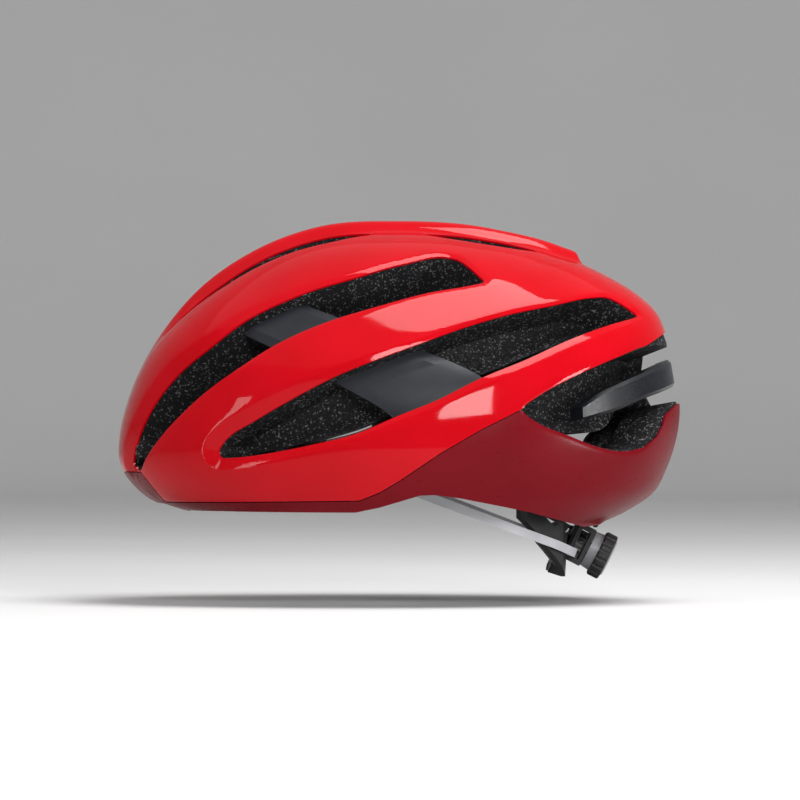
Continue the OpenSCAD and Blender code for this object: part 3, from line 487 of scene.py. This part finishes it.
def skin_piece(name, points, triangles, drop):
    """A shell of even thickness: outside, inside and the narrow strip that joins them along every edge.
    """
    outside = outside_shape(points, drop)
    inward = centre - outside
    inside = outside + inward / np.linalg.norm(inward, axis=1)[:, None] * skin
    n = len(points)
    edge = free_edges(triangles)
    strip = np.stack([edge[:, 1], edge[:, 0], edge[:, 0] + n, edge[:, 1] + n], 1)
    return put_in(name, np.concatenate([outside, inside]), [triangles, triangles[:, ::-1] + n, strip])


def surface(name, colour, roughness, **more):
    """New material with one principled shader; more are further sockets by name, with _ for a space."""
    material = bpy.data.materials.new(name)
    material.use_nodes = True
    shader = material.node_tree.nodes["Principled BSDF"]
    shader.inputs["Base Color"].default_value = (*colour, 1)
    shader.inputs["Roughness"].default_value = roughness
    for socket, value in more.items():
        shader.inputs[socket.replace("_", " ")].default_value = value
    return material


def node(material, kind, **values):
    """New node in a material; values are properties or, failing that, input sockets by name."""
    made = material.node_tree.nodes.new(kind)
    for key, value in values.items():
        if hasattr(made, key):
            setattr(made, key, value)
        else:
            made.inputs[key.replace("_", " ")].default_value = value
    return made


def join(material, source, target):
    """Links two sockets."""
    material.node_tree.links.new(source, target)


def coordinates(material):
    """The object coordinates of a material, in metres."""
    for made in material.node_tree.nodes:
        if made.bl_idname == "ShaderNodeTexCoord":
            return made.outputs["Object"]
    return node(material, "ShaderNodeTexCoord").outputs["Object"]


def noise(material, scale, detail=2.0):
    """Value of a noise with features of about one over the scale, in metres."""
    made = node(material, "ShaderNodeTexNoise", Scale=scale, Detail=detail)
    join(material, coordinates(material), made.inputs["Vector"])
    return made.outputs["Fac"]


def spread(material, value, low, high, socket, start=0.3, end=0.7):
    """Sets a shader socket to low where the value is at start and to high where it is at end."""
    made = node(material, "ShaderNodeMapRange")
    for key, number in (("From Min", start), ("From Max", end), ("To Min", low), ("To Max", high)):
        made.inputs[key].default_value = number
    join(material, value, made.inputs["Value"])
    join(material, made.outputs["Result"], material.node_tree.nodes["Principled BSDF"].inputs[socket])


def tint(material, value, dark, light, start=0.3, end=0.7):
    """Colours the material from dark to light by the value."""
    ramp = node(material, "ShaderNodeValToRGB")
    ramp.color_ramp.elements[0].position, ramp.color_ramp.elements[1].position = start, end
    ramp.color_ramp.elements[0].color, ramp.color_ramp.elements[1].color = (*dark, 1), (*light, 1)
    join(material, value, ramp.inputs["Fac"])
    join(material, ramp.outputs["Color"], material.node_tree.nodes["Principled BSDF"].inputs["Base Color"])


def relief(material, value, height, strength=1.0):
    """Bumps the surface by the value; height is that of a full step, in metres."""
    bump = node(material, "ShaderNodeBump", Strength=strength, Distance=height)
    join(material, value, bump.inputs["Height"])
    join(material, bump.outputs["Normal"], material.node_tree.nodes["Principled BSDF"].inputs["Normal"])


shell_net = bevelled(*measured_net(241))


def side_line_field(points, line, drop):
    """Height of net points above a line given in side view."""
    line = np.asarray(line, float)
    p = outside_shape(points, drop)
    return p[:, 2] - np.interp(p[:, 0], line[:, 0], line[:, 1])


upper = shell_net
for column in to_vent:
    upper = trimmed(*upper, upper[0][:, column])
upper = trimmed(*upper, side_line_field(upper[0], seam, 0))
upper_shell = skin_piece("upper_shell_skin", *upper, 0)

gloss_red = surface("gloss_red", (0.60, 0.004, 0.012), 0.35, Coat_Weight=0.8, Coat_IOR=1.28,
                    Coat_Roughness=0.045, Specular_IOR_Level=0.0)
tint(gloss_red, noise(gloss_red, 35), (0.38, 0.0008, 0.004), (0.42, 0.0012, 0.006))
spread(gloss_red, noise(gloss_red, 160), 0.03, 0.07, "Coat Roughness")
relief(gloss_red, noise(gloss_red, 22, 1.0), 0.0004, 0.25)
upper_shell.data.materials.append(gloss_red)
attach(upper_shell, "helmet")
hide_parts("upper_shell")

# ---- Lower shell ----
# A darker red skin that wraps the lower edge, the sides and the cup at the back. It is moulded
# separately and meets the upper shell at a fine open seam. It lies slightly deeper.
seam_gap = 0.5
lower_drop = 0.2
cup_top = [[60, 51], [62, 49], [70, 44], [84, 38.5], [98, 33], [110, 30.5], [122, 32], [129, 37.5],
           [132.5, 44], [133, 48], [140, 54], [160, 56]]
lower_top = [[-160, 20 - seam_gap]] + [[x, z - seam_gap] for x, z in seam if x < 50] + cup_top
lower = trimmed(*shell_net, -side_line_field(shell_net[0], lower_top, lower_drop))
lower = trimmed(*lower, side_line_field(lower[0], rim, lower_drop))
lower = trimmed(*lower, lower[0][:, to_vent[EXHAUST]])
lower_shell = skin_piece("lower_shell_skin", *lower, lower_drop)
deep_red = surface("deep_red", (0.22, 0.003, 0.010), 0.40, Coat_Weight=0.55, Coat_IOR=1.3, Coat_Roughness=0.3,
                   Specular_IOR_Level=0.0)
tint(deep_red, noise(deep_red, 30), (0.115, 0.0006, 0.004), (0.135, 0.001, 0.005))
spread(deep_red, noise(deep_red, 220), 0.27, 0.33, "Coat Roughness")
relief(deep_red, noise(deep_red, 25, 1.0), 0.0004, 0.25)
lower_shell.data.materials.append(deep_red)
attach(lower_shell, "helmet")
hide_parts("lower_shell")

# ---- Foam liner ----
# Black expanded polystyrene, moulded in one piece: the beads show as fine cells with pale flecks.
# The long side vents and the one round the back are channels with a slot through their floor.
rim_lip = 0.6
liner_drop = 1.45
channel_floor, web_floor = 0.85, 0.91
web_edge = (11, 15)
cavity_front = [[0, 118], [40, 112], [70, 95], [88, 70], [95, 45], [97, 25], [98, 5], [100, -10]]
cavity_rear = [[0, 118], [40, 113], [72, 98], [92, 70], [99, 45], [100, 25], [98, 5], [97, -10]]
cavity_side = [[0, 118], [30, 112], [52, 98], [68, 75], [76, 50], [79, 30], [80, 10], [82, -10]]
slot_upper, slot_lower = 0.22, 0.32


def cavity_reach(heading, lean):
    """Reach of the hollow for the head."""
    return dome((cavity_front, cavity_rear, cavity_side), heading, lean)


def slot_of(rungs):
    """Edge of the slot in a channel's floor: it starts a share of each rung above the vent's lower edge
    and runs on below that edge, under the rib.
    """
    rungs = rungs.copy()
    across = rungs[:, 0, :3] - rungs[:, 1, :3]
    rungs[:, 0, :3] = rungs[:, 1, :3] + slot_upper * across
    rungs[:, 1, :3] -= slot_lower * across
    return outline(rungs)


slots = (slot_of(from_side(flank_rungs)),
         slot_of(np.concatenate([from_side(exhaust_rungs), from_rear(slot_rear)])))
liner_points, liner_faces = measured_net(201)
slot_distance = np.stack([vent_distance(s, liner_points[:, :2])[0] for s in slots], -1)
liner_points = np.concatenate([liner_points, slot_distance], 1)
liner_far = np.hypot(liner_points[:, 0], liner_points[:, 1])
liner_faces = liner_faces[(liner_far[liner_faces] < 1.02).all(1)]
liner_points, liner_faces = trimmed(liner_points, liner_faces, 1 - liner_far)
for column in (*to_vent, -2, -1):
    liner_points, liner_faces, _, _ = split(liner_points, liner_faces, liner_points[:, column])
middle = liner_points[liner_faces].mean(1)
in_slot = (middle[:, -2:] < 0).any(1)
in_vent = (middle[:, to_vent] < 0).any(1)
in_open = (middle[:, [to_vent[k] for k in (BROW, *SLITS)]] < 0).any(1) | in_slot
liner_rim = rim_lean(lambda h, a: shell_reach(h, a) - liner_drop, rim_lip)
cavity_rim = rim_lean(cavity_reach, rim_lip)
heading, lean = from_disc(liner_points[:, :2], liner_rim)
far = np.hypot(liner_points[:, 0], liner_points[:, 1])
depth = liner_drop + sum(bevel_depth(liner_points[:, k], liner_points[:, k + 1]) for k in to_vent)
reach_outside = shell_reach(heading, lean) - depth
rim_step = np.interp(heading, rim_headings, cavity_rim - liner_rim) * ease(0.8, 1.0, far)
outer_layer = centre + ray(heading, lean) * reach_outside[:, None]
inner_layer = centre + ray(heading, lean + rim_step) * cavity_reach(heading, lean + rim_step)[:, None]
web = (1 - ease(*web_edge, np.abs(outer_layer[:, 1]))) * (outer_layer[:, 0] > 90)
deep_share = channel_floor + (web_floor - channel_floor) * web
deep_layer = centre + ray(heading, lean) * (reach_outside * deep_share)[:, None]
near_rim = ease(0.8, 1.0, far)[:, None]
deep_layer += ((outer_layer + inner_layer) / 2 - deep_layer) * near_rim
count = len(liner_points)


def walls(faces, upper_layer):
    """Wall quads from one layer down to the next below the free edges of some faces."""
    edge = free_edges(faces) + upper_layer * count
    return np.stack([edge[:, 1], edge[:, 0], edge[:, 0] + count, edge[:, 1] + count], 1)


# Foam above the level of the channel floors, and foam below it
above, below = liner_faces[~in_vent], liner_faces[~in_open]
ledges, ceilings = liner_faces[in_vent & ~in_open], liner_faces[~in_vent & in_open]
liner = put_in("foam_liner", np.concatenate([outer_layer, deep_layer, inner_layer]),
               [above, ledges + count, ceilings[:, ::-1] + count, below[:, ::-1] + 2 * count,
                walls(above, 0), walls(below, 1)], 50)
foam = surface("black_foam", (0.012, 0.012, 0.013), 0.62, Specular_IOR_Level=0.1)
beads = node(foam, "ShaderNodeTexVoronoi", Scale=300.0, feature="DISTANCE_TO_EDGE")
join(foam, coordinates(foam), beads.inputs["Vector"])
fleck = node(foam, "ShaderNodeTexVoronoi", Scale=1500.0)
join(foam, coordinates(foam), fleck.inputs["Vector"])
grey_of = node(foam, "ShaderNodeSeparateColor")
join(foam, fleck.outputs["Color"], grey_of.inputs["Color"])
tint(foam, grey_of.outputs["Red"], (0.009, 0.009, 0.010), (0.13, 0.13, 0.13), 0.86, 1.0)
spread(foam, beads.outputs["Distance"], 0.85, 0.5, "Roughness", 0.0, 0.12)
relief(foam, beads.outputs["Distance"], 0.0006, 0.8)
liner.data.materials.append(foam)
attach(liner, "helmet")
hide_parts("eps_liner")

# ---- Cross arch ----
# A broad moulded band in charcoal plastic that crosses the helmet under the ribs and ties them
# together. Its top is flat between two sloping edges. It is moulded into the foam at both ends.
arch_depth, arch_thickness = 7, 5
arch_top = [[-93, -70, 0], [-92, -68, 14], [-90, -64, 30]]
arch_side = [[-84, 93, -54, 108], [-63, 82, -28, 97], [-31, 64.5, 13, 81], [-6, 50, 41, 68], [2, 44, 49, 62]]
bevel_share, bevel_drop = 0.16, 2


def loft(name, sections, sharp=35):
    """Closed tube through a row of sections, each a ring of points in millimetres, with flat ends."""
    sections = np.asarray(sections, float)
    n, m = sections.shape[:2]
    at = np.arange(n * m).reshape(n, m)
    right = np.roll(at, -1, 1)
    sides = np.stack([at[:-1], right[:-1], right[1:], at[1:]], -1).reshape(-1, 4)
    return put_in(name, sections.reshape(-1, 3), [sides, at[:1], at[-1:, ::-1]], sharp)


def sunk(points, depth):
    """Points moved towards the centre by a depth."""
    away = points - centre
    return centre + away * (1 - depth / np.linalg.norm(away, axis=-1, keepdims=True))


arch_top, arch_side = np.asarray(arch_top, float), np.asarray(arch_side, float)
front_edge = np.concatenate([seen_top(arch_top[:, [0, 2]] * [1, -1], arch_depth),
                             seen_side(arch_side[:, :2], arch_depth)])
rear_edge = np.concatenate([seen_top(arch_top[:, [1, 2]] * [1, -1], arch_depth),
                            seen_side(arch_side[:, 2:], arch_depth)])
both_edges = flowing(np.concatenate([front_edge, rear_edge], 1), 70)
front_edge, rear_edge = both_edges[:, :3], both_edges[:, 3:]
front_crest = front_edge + (rear_edge - front_edge) * bevel_share
rear_crest = rear_edge + (front_edge - rear_edge) * bevel_share
arch_rows = np.stack([sunk(front_edge, arch_thickness), sunk(front_edge, bevel_drop), front_crest, rear_crest,
                      sunk(rear_edge, bevel_drop), sunk(rear_edge, arch_thickness),
                      sunk(rear_crest, arch_thickness), sunk(front_crest, arch_thickness)], 1)
arch = loft("cross_arch_band", np.concatenate([arch_rows[:0:-1] * [1, -1, 1], arch_rows]), 20)
charcoal = surface("charcoal_plastic", (0.018, 0.019, 0.023), 0.42, Specular_IOR_Level=0.2)
tint(charcoal, noise(charcoal, 60), (0.014, 0.015, 0.019), (0.019, 0.020, 0.025))
spread(charcoal, noise(charcoal, 900), 0.36, 0.50, "Roughness")
relief(charcoal, noise(charcoal, 1400), 0.00006, 0.5)
arch.data.materials.append(charcoal)
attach(arch, "helmet")
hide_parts("cross_arch")

# ---- Rear bar ----
# A glossier dark bar that wraps round the back inside the rear vent, from side to side. Its upper
# and lower edges are chamfered, and both ends run into the foam.
bar_rows = [[-39, 53, 46.5, 9], [-33, 60.5, 49, 8], [-28, 64.5, 52, 7], [-22, 69, 56.5, 5],
            [-15, 73, 60, 3], [-7, 76, 62.5, 2], [0, 77, 63, 2]]
bar_thickness, bar_edge, bar_chamfer = 8, 0.14, 1.5
far_outside = 170


def on_heading(heading, height, off):
    """Points of the dome lowered by off, at a heading in degrees and a height."""
    start = np.stack([height * 0, height * 0, height], -1)
    turn = np.radians(heading)
    away = np.stack([np.cos(turn), np.sin(turn), turn * 0], -1)
    return where_it_leaves(start, start + far_outside * away, off)


bar = flowing(np.asarray(bar_rows, float), 40)
upper_edge = on_heading(bar[:, 0], bar[:, 1], bar[:, 3])
lower_edge = on_heading(bar[:, 0], bar[:, 2], bar[:, 3])
bar_sections = np.stack([sunk(upper_edge, bar_thickness), sunk(upper_edge, bar_chamfer),
                         upper_edge + (lower_edge - upper_edge) * bar_edge,
                         lower_edge + (upper_edge - lower_edge) * bar_edge,
                         sunk(lower_edge, bar_chamfer), sunk(lower_edge, bar_thickness)], 1)
bar_piece = loft("rear_bar", np.concatenate([bar_sections, bar_sections[-2::-1] * [1, -1, 1]]), 20)
dark_bar = surface("dark_bar_plastic", (0.016, 0.017, 0.020), 0.30, Specular_IOR_Level=0.25)
tint(dark_bar, noise(dark_bar, 50), (0.006, 0.0065, 0.009), (0.009, 0.0095, 0.012))
spread(dark_bar, noise(dark_bar, 900), 0.26, 0.38, "Roughness")
bar_piece.data.materials.append(dark_bar)
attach(bar_piece, "helmet")
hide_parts("rear_bridge")

# ---- Comfort pads ----
# Soft foam in a brushed knit cover, sealed flat round the border. They hold to the foam wall by
# dots of hook tape: one at the brow, two under the crown, one at each temple, one behind.
pad_base, pad_thickness, pad_border = 1.3, 6.2, 0.8


def pillow(u, v):
    """Height of a pad over its patch: 1 in the middle and 0 at the sealed border, by 1 - w^4 in both
    ways, with a shallow stitched groove along the middle.
    """
    across, along = np.abs(2 * u - 1), np.abs(2 * v - 1)
    rounded = np.sqrt(np.clip(1 - (across / 0.97) ** 4, 0, 1) * np.clip(1 - (along / 0.9) ** 4, 0, 1))
    groove = 1 - 0.22 * np.exp(-(along / 0.12) ** 2) * (across < 0.86)
    return rounded * groove


def pad(name, directions, body, cad_node, wall=None):
    """Closed pad over a grid of directions: its back lies evenly off the wall, and its front is the
    pillow.
    """
    n, m = directions.shape[:2]
    u, v = np.meshgrid(np.linspace(0, 1, n), np.linspace(0, 1, m), indexing="ij")
    height = pad_border + (pad_thickness - pad_border) * pillow(u, v)
    if wall is None:
        heading = np.arctan2(directions[..., 1], directions[..., 0])
        lean = np.arctan2(np.hypot(directions[..., 0], directions[..., 1]), directions[..., 2])
        reach = cavity_reach(heading, lean)[..., None]
        back = centre + ray(heading, lean) * (reach - pad_base)
        front = centre + ray(heading, lean) * (reach - pad_base - height[..., None])
    else:
        back, front = wall(np.zeros_like(height)), wall(height)
    at = np.arange(n * m).reshape(n, m)
    quads = np.stack([at[:-1, :-1], at[1:, :-1], at[1:, 1:], at[:-1, 1:]], -1).reshape(-1, 4)
    ring = np.concatenate([at[:, 0], at[-1, 1:], at[-2::-1, -1], at[0, -2:0:-1]])
    around = np.stack([ring, np.roll(ring, -1), np.roll(ring, -1) + n * m, ring + n * m], 1)
    made = put_in(name, np.concatenate([back.reshape(-1, 3), front.reshape(-1, 3)]),
                  [quads, quads[:, ::-1] + n * m, around], 60)
    made.data.materials.append(knit)
    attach(made, body)
    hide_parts(cad_node)
    return made


def weave(material, scale, height):
    """Fine over-and-under relief of crossed waves in object space."""
    waves = []
    for direction in ("X", "Z"):
        made = node(material, "ShaderNodeTexWave", wave_type="BANDS", bands_direction=direction,
                    Scale=scale, Distortion=1.5)
        join(material, coordinates(material), made.inputs["Vector"])
        waves.append(made.outputs["Fac"])
    product = node(material, "ShaderNodeMath", operation="MULTIPLY")
    join(material, waves[0], product.inputs[0])
    join(material, waves[1], product.inputs[1])
    relief(material, product.outputs[0], height, 0.7)
    return product.outputs[0]


knit = surface("brushed_knit", (0.022, 0.022, 0.025), 0.9, Sheen_Weight=0.25, Sheen_Roughness=0.5,
               Specular_IOR_Level=0.2)
tint(knit, weave(knit, 260, 0.0003), (0.014, 0.014, 0.016), (0.040, 0.040, 0.045), 0.0, 0.8)


def wall_grid(h0, h1, a0, a1, n, m):
    """Directions between two headings and two leans, in degrees."""
    heading, lean = np.meshgrid(np.radians(np.linspace(h0, h1, n)), np.radians(np.linspace(a0, a1, m)),
                                indexing="ij")
    return ray(heading, lean)


def crown_grid(side):
    """Directions of a strip under the crown that runs lengthwise."""
    i, j = np.meshgrid(np.linspace(0, 10, 81), np.linspace(0, 4, 25), indexing="ij")
    return np.stack([-62 + 12.4 * i, side * (15 + 4.5 * j), 80 + 0 * i], -1)


pad("brow_cushion", wall_grid(135, 225, 86, 102, 121, 25), "helmet", "brow_pad")
pad("crown_cushion_left", crown_grid(-1), "helmet", "crown_pad_left")
pad("crown_cushion_right", crown_grid(1), "helmet", "crown_pad_right")
pad("side_cushion_left", wall_grid(-134, -52, 56, 80, 97, 31), "helmet", "side_pad_left")
pad("side_cushion_right", wall_grid(52, 134, 56, 80, 97, 31), "helmet", "side_pad_right")
pad("rear_cushion", wall_grid(-30, 30, 62, 78, 71, 25), "helmet", "rear_pad")

# ---- Straps ----
# Plain woven webbing: a front and a rear leg from the rim up to the divider on each side, and the
# chin straps from there to the buckle, all folded up inside the shell as it lies when not worn.
webbing_width, webbing_thickness = 15, 1.4
front_leg = [[-59, 20.5, -44.5, 21.5, 5], [-57, 25, -43, 26, 8.2], [-51, 33, -38, 35.5, 9.4],
             [-45, 38.5, -33.5, 43, 10.2]]
rear_leg = [[38, 20.5, 50, 21.5, 5], [34, 24.5, 46, 29, 8.2], [16, 32, 24, 43, 9.4], [0, 37.5, 6, 50, 9.8],
            [-14, 42.5, -12, 56, 10.2]]
chin_x, chin_depth, chin_sink = -24, 9.2, 6.7
selvedge = 0.06


def band_rows(front, rear, front_under, rear_under):
    """Eight-sided sections of a flat strip, its two edges rounded, from its four corner lines."""
    side = (rear - front) * selvedge
    middle_front, middle_rear = (front + front_under) / 2, (rear + rear_under) / 2
    return np.stack([middle_front, front + side, rear - side, middle_rear, rear_under - side,
                     front_under + side], 1)


webbing = surface("black_webbing", (0.016, 0.016, 0.017), 0.75, Sheen_Weight=0.15, Specular_IOR_Level=0.25)
tint(webbing, weave(webbing, 420, 0.00025), (0.010, 0.010, 0.011), (0.035, 0.035, 0.038), 0.0, 0.8)


def strap(name, rows, side, cad_node):
    """One strap; side is 1 for the left and -1 for its mirror image."""
    made = loft(name, rows * [1, side, 1], 50)
    made.data.materials.append(webbing)
    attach(made, "helmet")
    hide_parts(cad_node)


def leg_rows(rungs):
    """Sections of a leg given by its rungs in side view and their distance from the wall."""
    r = flowing(np.asarray(rungs, float)[:, [0, 1, 4, 2, 3]], 40)
    corner = [seen_side(r[:, c], off=(r[:, 2] + add), reach=cavity_reach) for c, add in
              (([0, 1], 0), ([3, 4], 0), ([0, 1], webbing_thickness), ([3, 4], webbing_thickness))]
    return band_rows(*corner)


def chin_rows(last):
    """Sections of a chin strap up the side and over, down to its last lean in degrees, where it sinks
    to the buckle.
    """
    lean = np.linspace(64, last, 60)
    d = chin_depth + chin_sink * (1 - ease(last, 34, lean))
    corners = []
    for along, add in ((-1, 0), (1, 0), (-1, webbing_thickness), (1, webbing_thickness)):
        direction = np.stack([np.full(60, (chin_x + along * webbing_width / 2) / 84),
                              -np.sin(np.radians(lean)), np.cos(np.radians(lean))], -1)
        h, a = angles(centre + direction)
        corners.append(centre + ray(h, a) * (cavity_reach(h, a) - d - add)[:, None])
    return band_rows(*corners)


for side, name in ((1, "left"), (-1, "right")):
    strap(f"front_leg_{name}", leg_rows(front_leg), side, f"front_strap_{name}")
    strap(f"rear_leg_{name}", leg_rows(rear_leg), side, f"rear_strap_{name}")
    strap(f"chin_webbing_{name}", chin_rows(18.4 if side > 0 else 14.3), side, f"chin_strap_{name}")

# ---- Small black fittings ----
# Moulded acetal, all with broken edges: temple anchors, strap anchors and the height anchor set in
# the foam, the dividers with their cam levers, the keeper, and the side-release buckle.


def softened(name, width=0.3, sharp=35):
    """A merged copy of a CAD node with its sharp edges rounded by the width in millimetres."""
    source = bpy.data.objects[name]
    data = source.data.copy()
    data.transform(source.matrix_world)
    work = bmesh.new()
    work.from_mesh(data)
    bmesh.ops.remove_doubles(work, verts=work.verts, dist=1e-6)
    bmesh.ops.dissolve_limit(work, angle_limit=math.radians(1.5), verts=work.verts, edges=work.edges)
    bmesh.ops.recalc_face_normals(work, faces=work.faces)
    work.to_mesh(data)
    work.free()
    data.materials.clear()
    data.polygons.foreach_set("use_smooth", np.ones(len(data.polygons), bool))
    data.set_sharp_from_angle(angle=math.radians(sharp))
    copy = bpy.data.objects.new(f"{name}_finished", data)
    bpy.context.scene.collection.objects.link(copy)
    if width:
        edge = copy.modifiers.new("rounded_edges", "BEVEL")
        edge.width, edge.segments, edge.limit_method = width * MM, 2, "ANGLE"
        edge.angle_limit, edge.use_clamp_overlap, edge.harden_normals = math.radians(sharp), True, True
    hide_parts(name)
    return copy


acetal = surface("black_acetal", (0.012, 0.012, 0.013), 0.36, Specular_IOR_Level=0.3)
spread(acetal, noise(acetal, 500), 0.28, 0.46, "Roughness")
relief(acetal, noise(acetal, 1200), 0.00005, 0.4)


def finished(names, body, material, width=0.3):
    """Softened copies of a group of like pieces, on one body and in one material."""
    for name in names:
        made = softened(name, width)
        made.data.materials.append(material)
        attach(made, body)


finished(["temple_anchor_left", "temple_anchor_right", "height_anchor", "strap_anchor_front_left",
          "strap_anchor_front_right", "strap_anchor_rear_left", "strap_anchor_rear_right",
          "strap_divider_left", "strap_divider_right", "buckle_socket", "buckle_plug", "strap_keeper"],
         "helmet", acetal)
finished(["divider_lever_left"], "lever_left", acetal, 0.2)
finished(["divider_lever_right"], "lever_right", acetal, 0.2)
finished(["buckle_prong_front"], "prong_front", acetal, 0.2)
finished(["buckle_prong_rear"], "prong_rear", acetal, 0.2)
steel = surface("plated_steel", (0.56, 0.56, 0.58), 0.3, Metallic=1.0)
spread(steel, noise(steel, 700), 0.22, 0.38, "Roughness")
finished(["divider_pin_left", "divider_pin_right"], "helmet", steel, 0.1)
hook_tape = surface("hook_tape", (0.014, 0.014, 0.015), 0.85)
tint(hook_tape, weave(hook_tape, 700, 0.0004), (0.008, 0.008, 0.009), (0.03, 0.03, 0.032), 0.0, 0.8)
finished(["pad_fasteners"], "helmet", hook_tape, 0.1)

# ---- Fit band, cradle and height strip ----
# Nylon: two thin grey bands run back from the temple pins to the black cradle, and a strip with holes hangs
# the cradle from its anchor in the rear rim. On the helmet, bands and strip flex as the fit changes; here
# each is built in one fixed shape and put on no moving body.
nylon = surface("black_nylon", (0.014, 0.014, 0.015), 0.40, Specular_IOR_Level=0.3)
spread(nylon, noise(nylon, 600), 0.32, 0.50, "Roughness")
relief(nylon, noise(nylon, 1000), 0.00006, 0.4)
grey_nylon = surface("grey_nylon", (0.20, 0.20, 0.215), 0.45)
tint(grey_nylon, noise(grey_nylon, 80), (0.34, 0.34, 0.36), (0.40, 0.40, 0.42))
spread(grey_nylon, noise(grey_nylon, 600), 0.38, 0.54, "Roughness")
finished(["band_eye_left", "band_eye_right"], "fit_ring", grey_nylon, 0.25)
finished(["cradle_frame", "dial_housing", "housing_cover"], "cradle", nylon)
finished(["rack_left"], "rack_left", nylon, 0.1)
finished(["rack_right"], "rack_right", nylon, 0.1)
band_half, band_long, band_loop, band_fall = 75.5, 91.5, 2.2, 0.379
band_side, band_back = (-26, 62), (-46, -21)
band_width, band_thickness = 4.4, 1.6


def band_sections(rise):
    """Sections of the left band along the superellipse round the head, sloping down to the rear; near
    the dial it lifts by the rise.
    """
    x = np.linspace(*band_side, 90)
    y = np.linspace(*band_back, 24)
    rows = []
    for inset in (0, band_thickness):
        b, a = band_half - inset, band_long - inset
        along = np.stack([x, -b * (1 - (np.abs(x) / a) ** band_loop) ** (1 / band_loop)], -1)
        round_back = np.stack([a * (1 - (np.abs(y) / b) ** band_loop) ** (1 / band_loop), y], -1)
        rows.append(np.concatenate([along, round_back]))
    lift = np.concatenate([np.zeros(len(x)), rise * ease(*band_back, y)])
    up = np.array([band_fall, 0, 1]) / math.hypot(band_fall, 1)
    corners = []
    for k, sign in ((0, -1), (0, 1), (1, 1), (1, -1)):
        p = np.concatenate([rows[k], (8 - band_fall * (rows[k][:, 0] - 14) + lift)[:, None]], 1)
        corners.append(p + up * sign * band_width / 2)
    return np.stack(corners, 1)


for side, name, rise in ((1, "left", -1), (-1, "right", 6.4)):
    band = loft(f"band_{name}", band_sections(rise) * [1, side, 1], 40)
    band.data.materials.append(grey_nylon)
    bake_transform(band)
    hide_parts(f"fit_band_{name}")
strip = softened("height_strap", 0.2)
strip.data.materials.append(nylon)
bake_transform(strip)
cradle_pad_rows = [[-44, -3, -15], [-39, -8, -20], [-33, -12, -25], [-28.5, -14, -28.5], [-24.5, -15, -28.5]]
cradle_pad_gap, cradle_pad_thickness = 3.3, 3.0


def cradle_cushion(side, name):
    """Pad on the inner face of a wing of the cradle."""
    rows = np.asarray(cradle_pad_rows, float)
    y = np.linspace(rows[0, 0], rows[-1, 0], 41)
    top, bottom = np.interp(y, rows[:, 0], rows[:, 1]), np.interp(y, rows[:, 0], rows[:, 2])
    share = np.linspace(0, 1, 21)
    z = top[:, None] + (bottom - top)[:, None] * share
    y = np.repeat(y[:, None], 21, 1)

    def wall(height):
        middle = 1 - ease(17, 27, np.abs(y))
        inset = 2.8 + 4.4 * middle + cradle_pad_gap + height * cradle_pad_thickness / pad_thickness
        b, a = band_half - inset, band_long - inset
        x = a * (1 - (np.abs(y) / b) ** band_loop) ** (1 / band_loop)
        return np.stack([x + math.tan(math.radians(27)) * middle * (z + 16), side * y, z], -1)

    pad(f"cradle_cushion_{name}", np.zeros((41, 21, 3)), "cradle", f"cradle_pad_{name}", wall=wall)


cradle_cushion(1, "left")
cradle_cushion(-1, "right")

# ---- Dial ----
# A grey turned knob with a soft toothed grip, on a pinion that drives both racks. A steel screw
# holds it, and a click spring in natural acetal keeps it from turning back.
dial_grey = surface("dial_grey", (0.24, 0.245, 0.26), 0.38)
tint(dial_grey, noise(dial_grey, 90), (0.21, 0.215, 0.23), (0.26, 0.265, 0.28))
spread(dial_grey, noise(dial_grey, 700), 0.32, 0.46, "Roughness")
rubber = surface("grip_rubber", (0.013, 0.013, 0.014), 0.62)
spread(rubber, noise(rubber, 800), 0.52, 0.74, "Roughness")
relief(rubber, noise(rubber, 1500), 0.00005, 0.5)
natural = surface("natural_acetal", (0.62, 0.61, 0.57), 0.4, Subsurface_Weight=0.1)
spread(natural, noise(natural, 400), 0.34, 0.5, "Roughness")
finished(["dial_knob"], "dial", dial_grey, 0.25)
finished(["dial_grip"], "dial", rubber, 0.2)
finished(["pinion"], "dial", natural, 0.05)
finished(["dial_screw"], "dial", steel, 0.1)
finished(["click_spring"], "cradle", natural, 0.1)

# ---- Lights ----
# A long soft box above and behind the middle of the helmet, a broad soft light from the side it is
# seen from, and a narrow one at each end for the outline.


def soft_box(name, place, look_at, size, power, colour=(1, 1, 1)):
    """Rectangular light of the given size in metres, turned to face a point."""
    data = bpy.data.lights.new(name, "AREA")
    data.shape = "RECTANGLE"
    data.size, data.size_y, data.energy, data.color = *size, power, colour
    lamp = bpy.data.objects.new(name, data)
    lamp.location = place
    aim = Vector(look_at) - Vector(place)
    lamp.rotation_euler = aim.to_track_quat("-Z", "Y").to_euler()
    bpy.context.scene.collection.objects.link(lamp)
    return lamp


soft_box("overhead", (0.45, -0.35, 1.5), (0.0, 0.0, 0.06), (0.9, 1.0), 30)
soft_box("side", (0.55, -1.9, 0.75), (0.0, 0.0, 0.06), (0.55, 0.5), 20)
soft_box("front", (-1.5, -1.2, 0.35), (0.0, 0.0, 0.06), (0.25, 0.9), 6)
soft_box("rear", (1.55, -0.8, 0.12), (0.0, 0.0, 0.06), (0.4, 0.5), 16)
world = bpy.data.worlds.new("studio")
bpy.context.scene.world = world
world.use_nodes = True
world.node_tree.nodes["Background"].inputs["Color"].default_value = (1.0, 1.0, 1.0, 1)
world.node_tree.nodes["Background"].inputs["Strength"].default_value = 0.6
paper = surface("pale_paper", (0.62, 0.62, 0.62), 0.9, Specular_IOR_Level=0.1)
tint(paper, noise(paper, 3), (0.61, 0.61, 0.61), (0.63, 0.63, 0.63))
floor.data.materials.append(paper)
